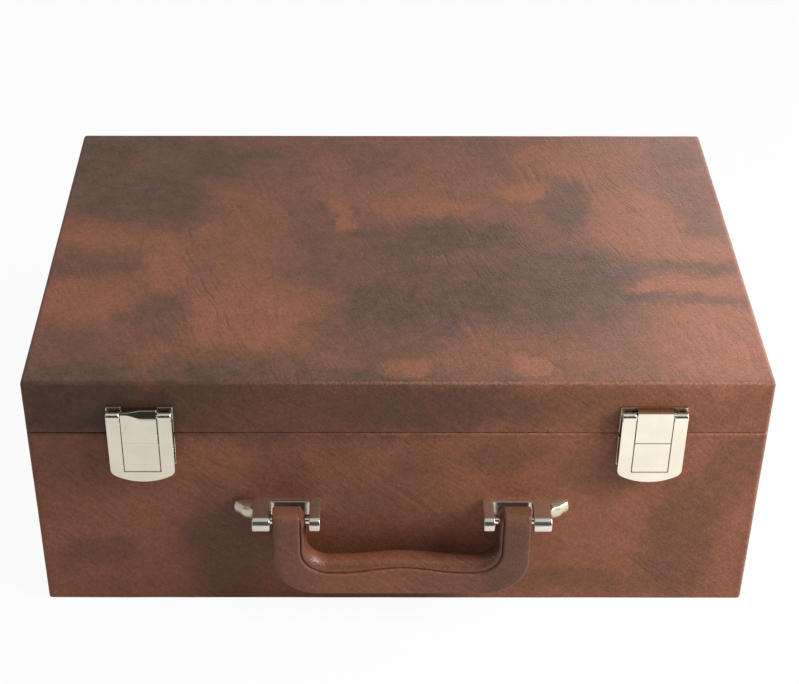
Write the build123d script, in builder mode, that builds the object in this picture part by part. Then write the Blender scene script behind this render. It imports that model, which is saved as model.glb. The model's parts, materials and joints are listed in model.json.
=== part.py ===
from build123d import *
import os

os.makedirs("parts", exist_ok=True)

# A leatherette-covered case for chess pieces: a hinged lid, two snap latches, a swinging handle
# and a lift-out tray over fixed compartments. Sizes are in millimetres. The origin is the middle
# of the underside, the front of the case faces -Y and the lid is at the top.

# Case
case_length = 394.0
case_width = 267.0
base_height = 119.3
lid_height = 32.8
seam_gap = 0.4
cover_thickness = 0.8
edge_radius = 2.4
rim_radius = 0.6

# Boards under the leatherette
base_wall = 9.0
lid_wall = 8.0
floor_thickness = 6.0
lid_top_thickness = 6.0
rabbet_depth = 4.0

# Lining of the base and the lid
lining_thickness = 2.0
floor_lining_thickness = 1.2
lip_height = 3.0
band_thickness = 0.7
band_clearance = 0.6
pad_thickness = 14.0
pad_clearance = 0.6
pad_radius = 4.0

# Dividers, ledges and tray
divider_thickness = 2.5
notch_clearance = 0.1
slot_count = 8
lower_divider_height = 53.0
tray_seat_gap = 3.0
ledge_depth = 6.0
ledge_height = 12.0
ledge_inset = 20.0
tray_clearance = 0.8
tray_drop = 3.0
tray_floor_thickness = 3.0
tray_wall = 4.0
tray_lining_thickness = 1.0
tray_divider_drop = 3.0
ribbon_width = 14.0
ribbon_thickness = 0.8
ribbon_stand = 10.0
ribbon_start = 12.0

# Latches, measured from the ends of the case and up or down from the seam
latch_left_inset = 61.1
latch_right_inset = 62.1
latch_width = 34.5
latch_plate = 1.0
latch_front = 6.4
latch_back_plate = 1.2
latch_window = 19.9
latch_window_gap = 0.25
latch_pin_rise = 14.3
latch_pin_radius = 1.2
latch_knuckle_radius = 2.8
latch_knuckle_gap = 0.25
latch_lever_drop = 28.3
latch_side_drop = 22.9
latch_corner_radius = 5.0
latch_window_drop = 21.6
latch_split_drop = 2.0
latch_split_gap = 0.4
latch_lid_plate_rise = 18.0
latch_base_plate_drop = 20.5
latch_rim_margin = 0.9
latch_bridge_rise = 18.0
latch_plate_corner = 1.0
latch_catch_width = 9.0
latch_catch_drop = 14.9
latch_catch_height = 3.4
latch_catch_front = 3.2
latch_hook_gap = 0.4
latch_hook_clearance = 0.2
latch_flange_back = 2.2
latch_foot_drop = 26.1
latch_foot_overlap = 3.0
latch_flange_margin = 0.9

# Nails of the latch plates, up or down from the seam
nail_spacing = 26.4
lid_nail_rise = 8.0
base_nail_drop = 12.5
nail_radius = 0.8
nail_head_radius = 2.0
nail_head_height = 1.0
nail_head_rounding = 0.6
nail_length = 8.0

# Handle and its brackets, measured from the handle's middle and the front face
handle_centre = 2.8
handle_axis_height = 69.8
handle_axis_out = 13.2
handle_thickness = 13.6
handle_half_width = 69.9
handle_arm_width = 17.5
handle_bottom = 22.5
handle_grip_height = 21.0
handle_swell = 2.2
handle_swell_half = 14.0
handle_swell_run = 16.0
handle_outer_radius = 24.0
handle_inner_radius = 12.0
handle_swell_radius = 40.0
handle_edge_radius = 2.2
handle_roll_radius = 6.0
handle_pin_radius = 2.0
core_strip_thickness = 2.5
core_strip_depth = 8.0
core_strip_radius = 16.0
core_strip_above_axis = 4.5
bracket_inner_start = 44.2
bracket_inner_width = 5.9
bracket_outer_start = 71.2
bracket_outer_width = 9.6
bracket_ear_radius = 4.7
bracket_ear_reach = 15.3
bracket_web = 3.3
bracket_pin_depth = 6.5
bracket_pin_inset = 0.6
wing_width = 9.4
wing_height = 12.5
wing_reach = 13.5
wing_tip_width = 0.8
wing_tip_height = 8.0
bracket_screw_radius = 1.5
bracket_screw_grip = 9.0
bracket_screw_head_radius = 2.8
bracket_screw_head_height = 2.0
bracket_screw_recess = 2.2

# Hinges at the back, measured from the ends of the case
hinge_inset = 77.0
hinge_width = 36.0
hinge_leaf_height = 15.0
hinge_leaf = 1.2
hinge_axis_out = 3.0
hinge_barrel_radius = 2.4
hinge_barrel_clearance = 0.3
hinge_pin_radius = 1.2
hinge_pin_head_radius = 2.0
hinge_pin_head = 0.8
hinge_knuckle_share = 12.0
hinge_knuckle_gap = 0.2
hinge_stop_width = 6.0
hinge_stop_angle = 75.0
hinge_stop_reach = 5.2
hinge_stop_thickness = 1.2
hinge_lug_top = 2.5
hinge_lug_bottom = 5.5
hinge_lug_out = 5.6
hinge_corner_radius = 2.0
hinge_screw_spacing = 12.0
hinge_screw_drop = 10.5
hinge_screw_radius = 1.2
hinge_screw_head_radius = 2.2
hinge_screw_length = 7.0

# Fits
fit_clearance = 0.05

# Sizes that follow from the ones above
core_length = case_length - 2 * cover_thickness
core_width = case_width - 2 * cover_thickness
core_radius = edge_radius - cover_thickness
front_face = -case_width / 2
back_face = case_width / 2
lid_bottom = base_height + seam_gap
case_height = lid_bottom + lid_height
seam_height = base_height + seam_gap / 2

base_room_length = core_length - 2 * base_wall
base_room_width = core_width - 2 * base_wall
lid_room_length = core_length - 2 * lid_wall
lid_room_width = core_width - 2 * lid_wall
lid_ceiling = case_height - cover_thickness - lid_top_thickness

lined_length = base_room_length - 2 * lining_thickness
lined_width = base_room_width - 2 * lining_thickness
floor_top = cover_thickness + floor_thickness
lined_floor = floor_top + floor_lining_thickness
ledge_top = lined_floor + lower_divider_height + tray_seat_gap

tray_length = lined_length - 2 * tray_clearance
tray_width = lined_width - 2 * tray_clearance
tray_top = base_height - tray_drop
tray_room_length = tray_length - 2 * tray_wall
tray_room_width = tray_width - 2 * tray_wall
tray_floor_top = ledge_top + tray_floor_thickness
tray_lined_floor = tray_floor_top + tray_lining_thickness

latch_centres = {
    "left": -case_length / 2 + latch_left_inset,
    "right": case_length / 2 - latch_right_inset,
}
latch_pin_height = seam_height + latch_pin_rise
latch_lid_plate_top = seam_height + latch_lid_plate_rise
latch_bridge_top = seam_height + latch_bridge_rise
latch_split = seam_height - latch_split_drop
latch_catch_bottom = seam_height - latch_catch_drop
latch_window_bottom = seam_height - latch_window_drop
latch_lever_side_end = seam_height - latch_side_drop
latch_base_plate_bottom = seam_height - latch_base_plate_drop
latch_foot_bottom = seam_height - latch_foot_drop
latch_lever_bottom = seam_height - latch_lever_drop
lid_nail_height = seam_height + lid_nail_rise
base_nail_height = seam_height - base_nail_drop
hinge_offset = case_length / 2 - hinge_inset
latch_bridge_width = latch_window - 2 * latch_window_gap
latch_pin_out = latch_back_plate + latch_knuckle_gap + latch_knuckle_radius
sides = {"left": -1, "right": 1}


def box_between(low, high, mode=Mode.ADD):
    """Add or cut a block, given its two opposite corners."""
    size = [abs(b - a) for a, b in zip(low, high)]
    middle = tuple((a + b) / 2 for a, b in zip(low, high))
    with Locations(middle):
        Box(*size, mode=mode)


def square_to(facing, x, out, z):
    """A place on the front (-1) or back (1) face whose own +Z points away from the case."""
    return Location((x, facing * (case_width / 2 + out), z), (-90 * facing, 0, 0))


def rod(facing, points, radius, start, end, mode=Mode.SUBTRACT):
    """Cut or add round rods square to a face, from one distance out to another."""
    for x, z in points:
        with Locations(square_to(facing, x, (start + end) / 2, z)):
            Cylinder(radius, end - start, mode=mode)


def save(piece, name):
    """Label a finished piece and write it under its name."""
    piece.part.label = name
    export_step(piece.part, f"parts/{name}.step")


# Places of the fasteners, as (x, z)
lid_nails = [
    (centre + side * nail_spacing / 2, lid_nail_height)
    for centre in latch_centres.values()
    for side in sides.values()
]
base_nails = [
    (centre + side * nail_spacing / 2, base_nail_height)
    for centre in latch_centres.values()
    for side in sides.values()
]
ear_middles = (
    bracket_inner_start + bracket_inner_width / 2,
    bracket_outer_start + bracket_outer_width / 2,
)
bracket_screws = [
    (handle_centre + side * ear, handle_axis_height)
    for side in sides.values()
    for ear in ear_middles
]
hinge_screws = {
    part: [
        (side * hinge_offset + step * hinge_screw_spacing, seam_height + up * hinge_screw_drop)
        for side in sides.values()
        for step in (-1, 0, 1)
    ]
    for part, up in (("base", -1), ("lid", 1))
}


def drill_case(part, nails, wall):
    """Cut the holes of one half of the case for its nails, screws and counterbores."""
    nail_end = latch_back_plate - nail_length
    rod(-1, nails, nail_radius + fit_clearance, nail_end, 0)
    screw_end = hinge_leaf - hinge_screw_length
    rod(1, hinge_screws[part], hinge_screw_radius + fit_clearance, screw_end, 0)
    if part == "base":
        inside = -cover_thickness - wall
        head_hole = bracket_screw_head_radius + fit_clearance
        rod(-1, bracket_screws, bracket_screw_radius + fit_clearance, inside, 0)
        rod(-1, bracket_screws, head_hole, inside, inside + bracket_screw_recess)


def make_boards(part, wall, bottom, top, sheet_bottom, sheet_thickness, nails):
    """Four rabbeted walls and the sheet that is let into them."""
    room_length = core_length - 2 * wall
    room_width = core_width - 2 * wall
    side_half = core_width / 2 - wall + rabbet_depth
    sheet_top = sheet_bottom + sheet_thickness
    sheet_high = (room_length / 2 + rabbet_depth, room_width / 2 + rabbet_depth, sheet_top)
    sheet_low = (-sheet_high[0], -sheet_high[1], sheet_bottom)
    for name, facing in (("front", -1), ("back", 1)):
        outer = facing * core_width / 2
        inner = facing * (core_width / 2 - wall)
        with BuildPart() as wall_panel:
            box_between((-core_length / 2, outer, bottom), (core_length / 2, inner, top))
            outside = wall_panel.faces().sort_by(Axis.Y)[0 if facing < 0 else -1].edges()
            rounded = outside.filter_by(Axis.Z)
            if part == "lid":
                top_edges = wall_panel.faces().sort_by(Axis.Z)[-1].edges()
                rounded = rounded + top_edges.filter_by(Axis.Y)
                rounded = rounded + outside.filter_by(Axis.X).sort_by(Axis.Z)[-1:]
            fillet(rounded, core_radius)
            for side in sides.values():
                box_between(
                    (side * (core_length / 2 - wall), -side_half, bottom),
                    (side * core_length / 2, side_half, top),
                    Mode.SUBTRACT,
                )
            box_between(sheet_low, sheet_high, Mode.SUBTRACT)
            drill_case(part, nails, wall)
        save(wall_panel, f"{part}_{name}_panel")
    for name, side in sides.items():
        with BuildPart() as side_panel:
            box_between(
                (side * (core_length / 2 - wall), -side_half, bottom),
                (side * core_length / 2, side_half, top),
            )
            if part == "lid":
                outside = side_panel.faces().sort_by(Axis.X)[0 if side < 0 else -1].edges()
                fillet(outside.filter_by(Axis.Y).sort_by(Axis.Z)[-1:], core_radius)
            box_between(sheet_low, sheet_high, Mode.SUBTRACT)
        save(side_panel, f"{part}_{name}_panel")
    with BuildPart() as sheet:
        box_between(sheet_low, sheet_high)
    save(sheet, "base_floor_panel" if part == "base" else "lid_top_panel")


make_boards(
    "base",
    base_wall,
    cover_thickness,
    base_height - cover_thickness,
    cover_thickness,
    floor_thickness,
    base_nails,
)
make_boards(
    "lid",
    lid_wall,
    lid_bottom + cover_thickness,
    case_height - cover_thickness,
    lid_ceiling,
    lid_top_thickness,
    lid_nails,
)

# Leatherette round the base, turned over the rim
with BuildPart() as base_cover:
    with BuildSketch():
        RectangleRounded(case_length, case_width, edge_radius)
    extrude(amount=base_height)
    fillet(base_cover.faces().sort_by(Axis.Z)[-1].edges(), rim_radius)
    with BuildSketch():
        RectangleRounded(core_length, core_width, core_radius)
    extrude(amount=base_height - cover_thickness, mode=Mode.SUBTRACT)
    with BuildSketch():
        Rectangle(base_room_length, base_room_width)
    extrude(amount=base_height, mode=Mode.SUBTRACT)
    drill_case("base", base_nails, base_wall)
save(base_cover, "base_cover")

with BuildPart() as base_bottom_cover:
    with BuildSketch():
        RectangleRounded(core_length, core_width, core_radius)
    extrude(amount=cover_thickness)
save(base_bottom_cover, "base_bottom_cover")

# Leatherette round the lid, over its top and under its rim
with BuildPart() as lid_core:
    with BuildSketch(Plane.XY.offset(lid_bottom + cover_thickness)):
        RectangleRounded(core_length, core_width, core_radius)
    extrude(amount=lid_height - 2 * cover_thickness)
    fillet(lid_core.faces().sort_by(Axis.Z)[-1].edges(), core_radius)

with BuildPart() as lid_cover:
    with BuildSketch(Plane.XY.offset(lid_bottom)):
        RectangleRounded(case_length, case_width, edge_radius)
    extrude(amount=lid_height)
    fillet(lid_cover.faces().sort_by(Axis.Z)[-1].edges(), edge_radius)
    fillet(lid_cover.faces().sort_by(Axis.Z)[0].edges(), rim_radius)
    add(lid_core.part, mode=Mode.SUBTRACT)
    with BuildSketch(Plane.XY.offset(lid_bottom)):
        Rectangle(lid_room_length, lid_room_width)
    extrude(amount=cover_thickness, mode=Mode.SUBTRACT)
    drill_case("lid", lid_nails, lid_wall)
save(lid_cover, "lid_cover")

# Velvet-covered lining boards of the base, which stand a little above the rim
lip_top = base_height + lip_height
for name, facing in (("front", -1), ("back", 1)):
    with BuildPart() as lining_board:
        box_between(
            (-base_room_length / 2, facing * base_room_width / 2, floor_top),
            (base_room_length / 2, facing * lined_width / 2, lip_top),
        )
    save(lining_board, f"base_lining_{name}")
for name, side in sides.items():
    with BuildPart() as lining_board:
        box_between(
            (side * base_room_length / 2, -lined_width / 2, floor_top),
            (side * lined_length / 2, lined_width / 2, lip_top),
        )
    save(lining_board, f"base_lining_{name}")
with BuildPart() as floor_lining:
    box_between(
        (-lined_length / 2, -lined_width / 2, floor_top),
        (lined_length / 2, lined_width / 2, lined_floor),
    )
save(floor_lining, "base_lining_floor")

# Velvet band round the lid's walls and the padded board under its top
band_bottom = lip_top + band_clearance
with BuildPart() as lid_lining:
    with BuildSketch(Plane.XY.offset(band_bottom)):
        Rectangle(lid_room_length, lid_room_width)
        Rectangle(
            lid_room_length - 2 * band_thickness,
            lid_room_width - 2 * band_thickness,
            mode=Mode.SUBTRACT,
        )
    extrude(amount=lid_ceiling - band_bottom)
save(lid_lining, "lid_lining")

pad_inset = 2 * (band_thickness + pad_clearance)
with BuildPart() as lid_pad:
    with BuildSketch(Plane.XY.offset(lid_ceiling - pad_thickness)):
        RectangleRounded(lid_room_length - pad_inset, lid_room_width - pad_inset, pad_radius)
    extrude(amount=pad_thickness)
    fillet(lid_pad.faces().sort_by(Axis.Z)[0].edges(), pad_radius)
save(lid_pad, "lid_pad")


def ledge_corners(side):
    """Opposite corners of the ledge that carries the tray on one side."""
    low = (side * lined_length / 2, -lined_width / 2 + ledge_inset, ledge_top - ledge_height)
    high = (side * (lined_length / 2 - ledge_depth), lined_width / 2 - ledge_inset, ledge_top)
    return low, high


for name, side in sides.items():
    with BuildPart() as ledge:
        box_between(*ledge_corners(side))
    save(ledge, f"tray_ledge_{name}")


def make_dividers(prefix, room_length, room_width, bottom, height, end_gap):
    """One long divider, full cross dividers notched into it, and short ones in the front row."""
    half = divider_thickness / 2
    notch = half + notch_clearance
    middle = bottom + height / 2
    top = bottom + height
    pitch = room_length / slot_count
    places = [-room_length / 2 + pitch * (step + 1) for step in range(slot_count - 1)]
    cross_places = places[1::2]
    short_places = places[0::2]
    reach = room_length / 2 - end_gap
    with BuildPart() as long_divider:
        box_between((-reach, -half, bottom), (reach, half, top))
        for place in cross_places:
            box_between((place - notch, -half, middle), (place + notch, half, top), Mode.SUBTRACT)
        if prefix == "lower":
            for side in sides.values():
                box_between(*ledge_corners(side), Mode.SUBTRACT)
    save(long_divider, f"{prefix}_divider_long")
    with BuildPart() as cross_dividers:
        for place in cross_places:
            box_between((place - half, -room_width / 2, bottom), (place + half, room_width / 2, top))
            box_between((place - half, -notch, bottom), (place + half, notch, middle), Mode.SUBTRACT)
    save(cross_dividers, f"{prefix}_dividers_cross")
    with BuildPart() as short_dividers:
        for place in short_places:
            box_between((place - half, -room_width / 2, bottom), (place + half, -half, top))
    save(short_dividers, f"{prefix}_dividers_short")


make_dividers("lower", lined_length, lined_width, lined_floor, lower_divider_height, 0)
make_dividers(
    "tray",
    tray_room_length,
    tray_room_width,
    tray_lined_floor,
    tray_top - tray_divider_drop - tray_lined_floor,
    ribbon_thickness,
)

# Lift-out tray
with BuildPart() as tray_floor_panel:
    box_between(
        (-tray_length / 2, -tray_width / 2, ledge_top),
        (tray_length / 2, tray_width / 2, tray_floor_top),
    )
save(tray_floor_panel, "tray_floor_panel")

with BuildPart() as tray_side_walls:
    for facing in (-1, 1):
        box_between(
            (-tray_length / 2, facing * tray_width / 2, tray_floor_top),
            (tray_length / 2, facing * tray_room_width / 2, tray_top),
        )
save(tray_side_walls, "tray_side_walls")

with BuildPart() as tray_end_walls:
    for side in sides.values():
        box_between(
            (side * tray_length / 2, -tray_room_width / 2, tray_floor_top),
            (side * tray_room_length / 2, tray_room_width / 2, tray_top),
        )
save(tray_end_walls, "tray_end_walls")

with BuildPart() as tray_lining:
    box_between(
        (-tray_room_length / 2, -tray_room_width / 2, tray_floor_top),
        (tray_room_length / 2, tray_room_width / 2, tray_lined_floor),
    )
save(tray_lining, "tray_lining")

with BuildPart() as tray_ribbons:
    for side in sides.values():
        wall = side * tray_room_length / 2
        box_between(
            (wall, -ribbon_width / 2, tray_lined_floor + ribbon_start),
            (wall - side * ribbon_thickness, ribbon_width / 2, tray_top + ribbon_stand),
        )
save(tray_ribbons, "tray_ribbons")

# Latches
lever_back = latch_front - latch_plate
for name, centre in latch_centres.items():
    left = centre - latch_width / 2
    right = centre + latch_width / 2
    bridge_left = centre - latch_bridge_width / 2
    bridge_right = centre + latch_bridge_width / 2
    split_low = latch_split - latch_split_gap / 2
    split_high = latch_split + latch_split_gap / 2
    pin_y = front_face - latch_pin_out

    # Plate on the lid, with the bridge that carries the pin and fills the window's upper half
    with BuildPart() as lid_plate:
        plate_low = lid_bottom + latch_rim_margin
        box_between(
            (left, front_face, plate_low), (right, front_face - latch_back_plate, latch_lid_plate_top)
        )
        fillet(lid_plate.edges().filter_by(Axis.Y), latch_plate_corner)
        box_between(
            (bridge_left, front_face - lever_back, split_high),
            (bridge_right, front_face - latch_front, latch_bridge_top),
        )
        box_between(
            (bridge_left, front_face - latch_back_plate, latch_bridge_top - latch_plate),
            (bridge_right, front_face - lever_back, latch_bridge_top),
        )
        for outer, inward in ((bridge_left, 1), (bridge_right, -1)):
            box_between(
                (outer, front_face - latch_back_plate, plate_low),
                (outer + inward * latch_plate, front_face - lever_back, latch_bridge_top),
            )
        with Locations(Location((centre, pin_y, latch_pin_height), (0, 90, 0))):
            Cylinder(latch_pin_radius + fit_clearance, latch_width, mode=Mode.SUBTRACT)
        plate_nails = [place for place in lid_nails if left < place[0] < right]
        rod(-1, plate_nails, nail_radius + fit_clearance, 0, latch_back_plate)
    save(lid_plate, f"latch_lid_plate_{name}")

    # Plate on the base, with its catch
    with BuildPart() as base_plate:
        box_between(
            (left, front_face, latch_base_plate_bottom),
            (right, front_face - latch_back_plate, base_height - latch_rim_margin),
        )
        fillet(base_plate.edges().filter_by(Axis.Y), latch_plate_corner)
        box_between(
            (centre - latch_catch_width / 2, front_face, latch_catch_bottom),
            (
                centre + latch_catch_width / 2,
                front_face - latch_catch_front,
                latch_catch_bottom + latch_catch_height,
            ),
        )
        plate_nails = [place for place in base_nails if left < place[0] < right]
        rod(-1, plate_nails, nail_radius + fit_clearance, 0, latch_back_plate)
    save(base_plate, f"latch_base_plate_{name}")

    # U-shaped lever with a rolled knuckle on each arm and a rounded lower end
    with BuildPart() as lever:
        with BuildSketch(Plane.XZ.offset(lever_back - front_face)) as lever_face:
            with BuildLine():
                Polyline(
                    (left, latch_lever_side_end),
                    (left, latch_pin_height),
                    (right, latch_pin_height),
                    (right, latch_lever_side_end),
                )
                ThreePointArc(
                    (left, latch_lever_side_end),
                    (centre, latch_lever_bottom),
                    (right, latch_lever_side_end),
                )
            make_face()
            fillet(lever_face.vertices().group_by(Axis.Y)[0], latch_corner_radius)
        extrude(amount=latch_plate)
        for arm, inward in ((left, 1), (right, -1)):
            arm_width = (latch_width - latch_window) / 2
            middle = arm + inward * arm_width / 2
            with Locations(Location((middle, pin_y, latch_pin_height), (0, 90, 0))):
                Cylinder(latch_knuckle_radius, arm_width)
        box_between(
            (centre - latch_window / 2, front_face, latch_window_bottom),
            (centre + latch_window / 2, front_face - latch_front, case_height),
            Mode.SUBTRACT,
        )
        with Locations(Location((centre, pin_y, latch_pin_height), (0, 90, 0))):
            Cylinder(latch_pin_radius + fit_clearance, latch_width, mode=Mode.SUBTRACT)
    save(lever, f"latch_lever_{name}")

    # Tongue in the window's lower half: a channel with a hook, on a foot behind the lever
    with BuildPart() as tongue:
        tongue_bottom = latch_window_bottom + latch_window_gap
        box_between(
            (bridge_left, front_face - lever_back, tongue_bottom),
            (bridge_right, front_face - latch_front, split_low),
        )
        box_between(
            (bridge_left, front_face - lever_back + latch_plate, latch_foot_bottom),
            (bridge_right, front_face - lever_back, tongue_bottom + latch_foot_overlap),
        )
        for outer, inward in ((bridge_left, 1), (bridge_right, -1)):
            box_between(
                (outer, front_face - latch_flange_back, tongue_bottom + latch_foot_overlap),
                (outer + inward * latch_plate, front_face - lever_back, split_low - latch_flange_margin),
            )
        hook_top = latch_catch_bottom - latch_hook_gap
        box_between(
            (
                centre - latch_catch_width / 2,
                front_face - latch_catch_front - latch_hook_clearance,
                hook_top - latch_plate,
            ),
            (centre + latch_catch_width / 2, front_face - lever_back, hook_top),
        )
    save(tongue, f"latch_tongue_{name}")

with BuildPart() as latch_pins:
    for centre in latch_centres.values():
        place = (centre, front_face - latch_pin_out, latch_pin_height)
        with Locations(Location(place, (0, 90, 0))):
            Cylinder(latch_pin_radius, latch_width - 2 * latch_window_gap)
save(latch_pins, "latch_pins")


def make_nails(nails, name):
    """Round-headed nails through the latch plates into the boards."""
    with BuildPart() as group:
        head_top = latch_back_plate + nail_head_height
        rod(-1, nails, nail_head_radius, latch_back_plate, head_top, Mode.ADD)
        fillet(group.edges().group_by(Axis.Y)[0], nail_head_rounding)
        nail_end = latch_back_plate - nail_length
        rod(-1, nails, nail_radius, nail_end, latch_back_plate, Mode.ADD)
    save(group, name)


make_nails(lid_nails, "latch_lid_nails")
make_nails(base_nails, "latch_base_nails")

# Handle brackets: two ears on a web, with a leaf-shaped wing on the outer side
ear_top = handle_axis_height + bracket_ear_radius
ear_bottom = handle_axis_height - bracket_ear_radius
pin_reach = bracket_outer_start + bracket_pin_depth
for name, side in sides.items():
    with BuildPart() as bracket:
        for start, width in (
            (bracket_inner_start, bracket_inner_width),
            (bracket_outer_start, bracket_outer_width),
        ):
            near = handle_centre + side * start
            with BuildSketch(Plane.YZ.offset(near)):
                with Locations((front_face - bracket_ear_reach / 2, handle_axis_height)):
                    Rectangle(bracket_ear_reach, 2 * bracket_ear_radius)
                with Locations((front_face - bracket_ear_reach, handle_axis_height)):
                    Circle(bracket_ear_radius)
            extrude(amount=side * width)
        outer_end = handle_centre + side * (bracket_outer_start + bracket_outer_width)
        box_between(
            (handle_centre + side * bracket_inner_start, front_face, ear_bottom),
            (outer_end, front_face - bracket_web, ear_top),
        )
        for out, width, height in (
            (0, wing_width, wing_height),
            (wing_reach, wing_tip_width, wing_tip_height),
        ):
            with BuildSketch(Plane.XZ.offset(out - front_face)):
                with BuildLine():
                    Polyline(
                        (outer_end, ear_top - height),
                        (outer_end, ear_top),
                        (outer_end + side * width, ear_top),
                    )
                    RadiusArc(
                        (outer_end + side * width, ear_top),
                        (outer_end, ear_top - height),
                        side * (width + height) / 2,
                    )
                make_face()
        loft(ruled=True)
        pin_y = front_face - handle_axis_out
        hole_start = handle_centre + side * bracket_inner_start
        hole_end = handle_centre + side * pin_reach
        middle = (hole_start + hole_end) / 2
        with Locations(Location((middle, pin_y, handle_axis_height), (0, 90, 0))):
            Cylinder(
                handle_pin_radius + fit_clearance, abs(hole_end - hole_start), mode=Mode.SUBTRACT
            )
        own_screws = [place for place in bracket_screws if side * (place[0] - handle_centre) > 0]
        rod(-1, own_screws, bracket_screw_radius + fit_clearance, 0, bracket_screw_grip)
    save(bracket, f"handle_bracket_{name}")

with BuildPart() as handle_pins:
    for side in sides.values():
        start = handle_centre + side * (bracket_inner_start + bracket_pin_inset)
        end = handle_centre + side * pin_reach
        place = ((start + end) / 2, front_face - handle_axis_out, handle_axis_height)
        with Locations(Location(place, (0, 90, 0))):
            Cylinder(handle_pin_radius, abs(end - start))
save(handle_pins, "handle_pins")

with BuildPart() as bracket_screw_set:
    head_low = -cover_thickness - base_wall + bracket_screw_recess - bracket_screw_head_height
    head_high = head_low + bracket_screw_head_height
    rod(-1, bracket_screws, bracket_screw_head_radius, head_low, head_high, Mode.ADD)
    rod(-1, bracket_screws, bracket_screw_radius, head_high, bracket_screw_grip, Mode.ADD)
save(bracket_screw_set, "handle_bracket_screws")

# Handle: a steel strip bent to a U, in a leatherette-covered grip
handle_middle_y = front_face - handle_axis_out
end_radius = handle_thickness / 2
arm_top = handle_axis_height + end_radius
arm_middle = handle_half_width - handle_arm_width / 2
grip_top = handle_bottom + handle_grip_height
strip_middle = handle_bottom + handle_grip_height / 2
with BuildPart() as handle_core:
    with BuildSketch(Plane.XZ.offset(-handle_middle_y - core_strip_depth / 2)):
        with BuildLine():
            strip_top = handle_axis_height + core_strip_above_axis
            outer_x = arm_middle + core_strip_thickness / 2
            inner_x = arm_middle - core_strip_thickness / 2
            low = strip_middle - core_strip_thickness / 2
            high = strip_middle + core_strip_thickness / 2
            outer_bend = core_strip_radius + core_strip_thickness
            FilletPolyline(
                (handle_centre - outer_x, strip_top),
                (handle_centre - outer_x, low),
                (handle_centre + outer_x, low),
                (handle_centre + outer_x, strip_top),
                (handle_centre + inner_x, strip_top),
                (handle_centre + inner_x, high),
                (handle_centre - inner_x, high),
                (handle_centre - inner_x, strip_top),
                radius=[0, outer_bend, outer_bend, 0, 0, core_strip_radius, core_strip_radius, 0],
                close=True,
            )
        make_face()
    extrude(amount=core_strip_depth)
    strip_body = handle_core.part
    with Locations(Location((handle_centre, handle_middle_y, handle_axis_height), (0, 90, 0))):
        Cylinder(handle_pin_radius + fit_clearance, 2 * handle_half_width, mode=Mode.SUBTRACT)
save(handle_core, "handle_core")


def handle_edges(grip, outer):
    """Edges along the outside of the U, or along its inside, where the cover is rolled over."""
    chosen = []
    for edge in grip.edges().filter_by(Axis.Y, reverse=True):
        place = edge.center()
        outside = abs(place.X - handle_centre) > arm_middle or place.Z < strip_middle
        if outside == outer and place.Z < arm_top - fit_clearance:
            chosen.append(edge)
    return chosen


with BuildPart() as handle_grip:
    arm_inner = handle_half_width - handle_arm_width
    swell_top = grip_top + handle_swell
    swell_foot = handle_swell_half + handle_swell_run
    with BuildSketch(Plane.XZ.offset(-handle_middle_y - end_radius)):
        with BuildLine():
            FilletPolyline(
                (handle_centre - handle_half_width, arm_top),
                (handle_centre - handle_half_width, handle_bottom),
                (handle_centre + handle_half_width, handle_bottom),
                (handle_centre + handle_half_width, arm_top),
                (handle_centre + arm_inner, arm_top),
                (handle_centre + arm_inner, grip_top),
                (handle_centre + swell_foot, grip_top),
                (handle_centre + handle_swell_half, swell_top),
                (handle_centre - handle_swell_half, swell_top),
                (handle_centre - swell_foot, grip_top),
                (handle_centre - arm_inner, grip_top),
                (handle_centre - arm_inner, arm_top),
                radius=[0]
                + [handle_outer_radius] * 2
                + [0] * 2
                + [handle_inner_radius]
                + [handle_swell_radius] * 4
                + [handle_inner_radius]
                + [0],
                close=True,
            )
        make_face()
    extrude(amount=handle_thickness)
    fillet(handle_edges(handle_grip, outer=True), handle_edge_radius)
    fillet(handle_edges(handle_grip, outer=False), handle_roll_radius)
    with BuildSketch(Plane.YZ.offset(handle_centre - handle_half_width)):
        with Locations((handle_middle_y, (handle_bottom + handle_axis_height) / 2)):
            Rectangle(handle_thickness, handle_axis_height - handle_bottom)
        with Locations((handle_middle_y, handle_axis_height)):
            Circle(end_radius)
    extrude(amount=2 * handle_half_width, mode=Mode.INTERSECT)
    add(strip_body, mode=Mode.SUBTRACT)
    with Locations(Location((handle_centre, handle_middle_y, handle_axis_height), (0, 90, 0))):
        Cylinder(handle_pin_radius + fit_clearance, 2 * handle_half_width, mode=Mode.SUBTRACT)
save(handle_grip, "handle_grip")

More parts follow.
